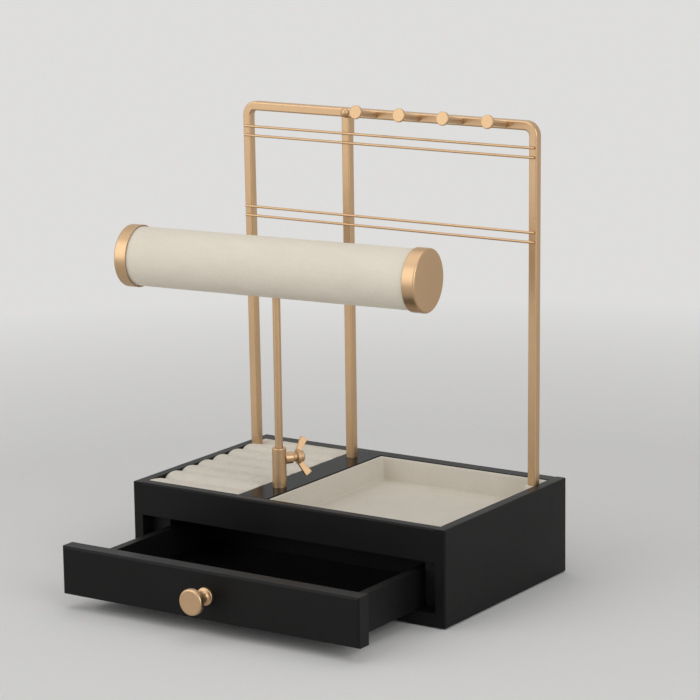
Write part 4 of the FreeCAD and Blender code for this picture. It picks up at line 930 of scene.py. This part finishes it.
class STAND_OT_roll_cover(StandOperator):
    """Velvet sleeve stretched over the bracelet roll, gathered a little at both caps"""

    bl_idname = "stand.roll_cover"
    bl_label = "Roll cover"

    def execute(self, context):
        cloud = points_of("roll_cover")
        rod_low, rod_high = corners_of("tbar_rod")
        bottom, top = cloud[:, 2].min(), cloud[:, 2].max()
        centre = (rod_low + rod_high) / 2
        centre[2] = (bottom + top) / 2
        yaw = self.yaw()
        axes = np.array([(math.cos(yaw), math.sin(yaw), 0.0), (-math.sin(yaw), math.cos(yaw), 0.0),
                         (0.0, 0.0, 1.0)])
        half = np.abs((cloud - centre) @ axes[0]).max()
        radius = (top - bottom) / 2
        room = 0.0004
        points, faces = self.surface(half, radius, (rod_high[0] - rod_low[0]) / 2 + room)
        placed = centre + sum(points[:, [i]] * axes[i] for i in range(3))
        finish = velvet("cream velvet", self.colours.roll_velvet, (0.6, 1.5, 1.5))
        piece = new_piece("roll_velvet", placed, faces, finish, smooth=60)
        solid = piece.modifiers.new("thickness", "SOLIDIFY")
        solid.thickness, solid.offset = self.sizes.velvet_thickness, -1.0
        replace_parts(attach(piece, "roll"), "roll_cover")
        return {"FINISHED"}

    def yaw(self):
        """Turn of the roll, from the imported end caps' middles."""
        left, right = (sum(corners_of(name)) / 2 for name in ("end_cap_left", "end_cap_right"))
        return math.atan2(right[1] - left[1], right[0] - left[0])

    def surface(self, half, radius, hole):
        """Sleeve round its own x axis.

        The radius is even but for soft ripples of 0.12 mm, gathers near the caps of
        0.16 mm * sin(46 angle) * e^(-gap / 5 mm), and a butt seam near the underside, a groove of
        0.3 mm * e^(-(arc / 0.9 mm)^2) with stitches beside it. Points round the rod are moved out
        of its hole: their distance d from its axis grows to the root of
        d^2 + hole^2 * e^(-(d / 12 mm)^2), up to d = 30 mm. Faces with a point that began within
        2.2 mm of the axis are left out, which opens the hole.
        """
        around, along = 240, 200
        inset = 0.00022  # keeps the ripples and gathers inside the radius
        seam, rod_side = math.radians(236), 1.5 * math.pi

        def arc_from(angle, side):
            """Distance round the roll from a side of it."""
            return radius * (np.mod(angle - side + math.pi, math.tau) - math.pi)

        a, x = np.meshgrid(np.linspace(0, math.tau, around, endpoint=False),
                           np.linspace(-1, 1, along) * half)
        gap, arc = half - np.abs(x), arc_from(a, seam)
        soft = ripple(x / 0.12, a / math.tau * 2, seed=21, waves=10, finest=4)
        r = radius - inset + 0.00012 * soft
        r = r + 0.00016 * np.sin(46 * a + 0.6 * np.sin(3 * a)) * np.exp(-gap / 0.005)
        r = (r - 0.0003 * np.exp(-(arc / 0.0009) ** 2)
             - 0.00012 * np.exp(-(arc / 0.006) ** 2) * np.sin(900 * x))
        under = arc_from(a, rod_side)
        away = np.hypot(x, under)
        fade, reach, cut = 0.012, 0.03, 0.0022
        grown = np.sqrt(away ** 2 + hole ** 2 * np.exp(-(away / fade) ** 2))
        factor = np.where(away < reach, grown / np.maximum(away, 1e-9), 1.0)
        x, under = x * factor, under * factor
        a = rod_side + under / radius
        points = np.stack([x, r * np.cos(a), r * np.sin(a)], axis=-1).reshape(-1, 3)
        faces = quads(along, around, around=True)
        inside = (away < cut).reshape(-1)
        return points, [faces[~inside[faces].any(axis=1)]]


class STAND_OT_base_felt(StandOperator):
    """Felt glued under the case"""

    bl_idname = "stand.base_felt"
    bl_label = "Base felt"

    def execute(self, context):
        low, high = corners_of("base_felt")
        points, faces = self.surface(low, high)
        finish = felt(self.colours.felt)
        piece = new_piece("base_felt_sheet", points, faces, finish, smooth=60)
        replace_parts(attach(piece, "case"), "base_felt")
        return {"FINISHED"}

    def surface(self, low, high):
        """Rounded edge profile carried round a rounded outline, closed by two filled grids.

        The profile is half an ellipse, 0.4 of the thickness deep, and the cut edge strays by up to
        0.1 mm.
        """
        thick, corner = high[2] - low[2], 0.003
        loops, sides = [], None
        for a in np.linspace(-math.pi / 2, math.pi / 2, 7):
            inset = thick * 0.4 * (1 - math.cos(a))
            outline, sides = path(low, high, inset, corner, long=60, short=44, turn=6)
            along = np.linspace(0, 1, len(outline), endpoint=False)
            stray = 0.0001 * ripple(along * 12, 0 * along, seed=31, waves=10, finest=8)
            outline = outline + stray[:, None] * math.cos(a)
            height = (low[2] + high[2]) / 2 + thick / 2 * math.sin(a)
            loops.append(np.column_stack([outline, np.full(len(outline), height)]))
        points, faces = [np.concatenate(loops)], [quads(len(loops), len(loops[0]), around=True)]
        for loop, flip in ((loops[0], True), (loops[-1], False)):
            grid = fill(loop[:, :2], sides)
            flat = grid.reshape(-1, 2)
            first = sum(len(block) for block in points)
            points.append(np.column_stack([flat, np.full(len(flat), loop[0, 2])]))
            faces.append(quads(*grid.shape[:2], first, flip=flip))
        return np.clip(np.concatenate(points), low, high), faces


# ---- Panel and registration ----

OPERATORS = (STAND_OT_stage, STAND_OT_case, STAND_OT_metal, STAND_OT_fixings, STAND_OT_ring_pad,
             STAND_OT_tray_liner, STAND_OT_roll_cover, STAND_OT_base_felt)


class STAND_PT_panel(bpy.types.Panel):
    """Lists the stand's pieces with their sizes and colours"""

    bl_idname = "STAND_PT_panel"
    bl_label = "Jewellery stand"
    bl_space_type = "VIEW_3D"
    bl_region_type = "UI"
    bl_category = "Stand"

    def draw(self, context):
        for operator in OPERATORS:
            self.layout.operator(operator.bl_idname)
        for group in (context.scene.stand_sizes, context.scene.stand_colours):
            box = self.layout.box()
            for name in group.__annotations__:
                box.prop(group, name)


CLASSES = (StandSizes, StandColours, *OPERATORS, STAND_PT_panel)


def register():
    for item in CLASSES:
        bpy.utils.register_class(item)
    bpy.types.Scene.stand_sizes = bpy.props.PointerProperty(type=StandSizes)
    bpy.types.Scene.stand_colours = bpy.props.PointerProperty(type=StandColours)


def unregister():
    del bpy.types.Scene.stand_colours
    del bpy.types.Scene.stand_sizes
    for item in reversed(CLASSES):
        bpy.utils.unregister_class(item)


def main():
    """Registers the add-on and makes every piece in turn."""
    register()
    bpy.ops.stand.stage()
    bpy.ops.stand.case()
    bpy.ops.stand.metal()
    bpy.ops.stand.fixings()
    bpy.ops.stand.ring_pad()
    bpy.ops.stand.tray_liner()
    bpy.ops.stand.roll_cover()
    bpy.ops.stand.base_felt()


if __name__ == "__main__":
    main()
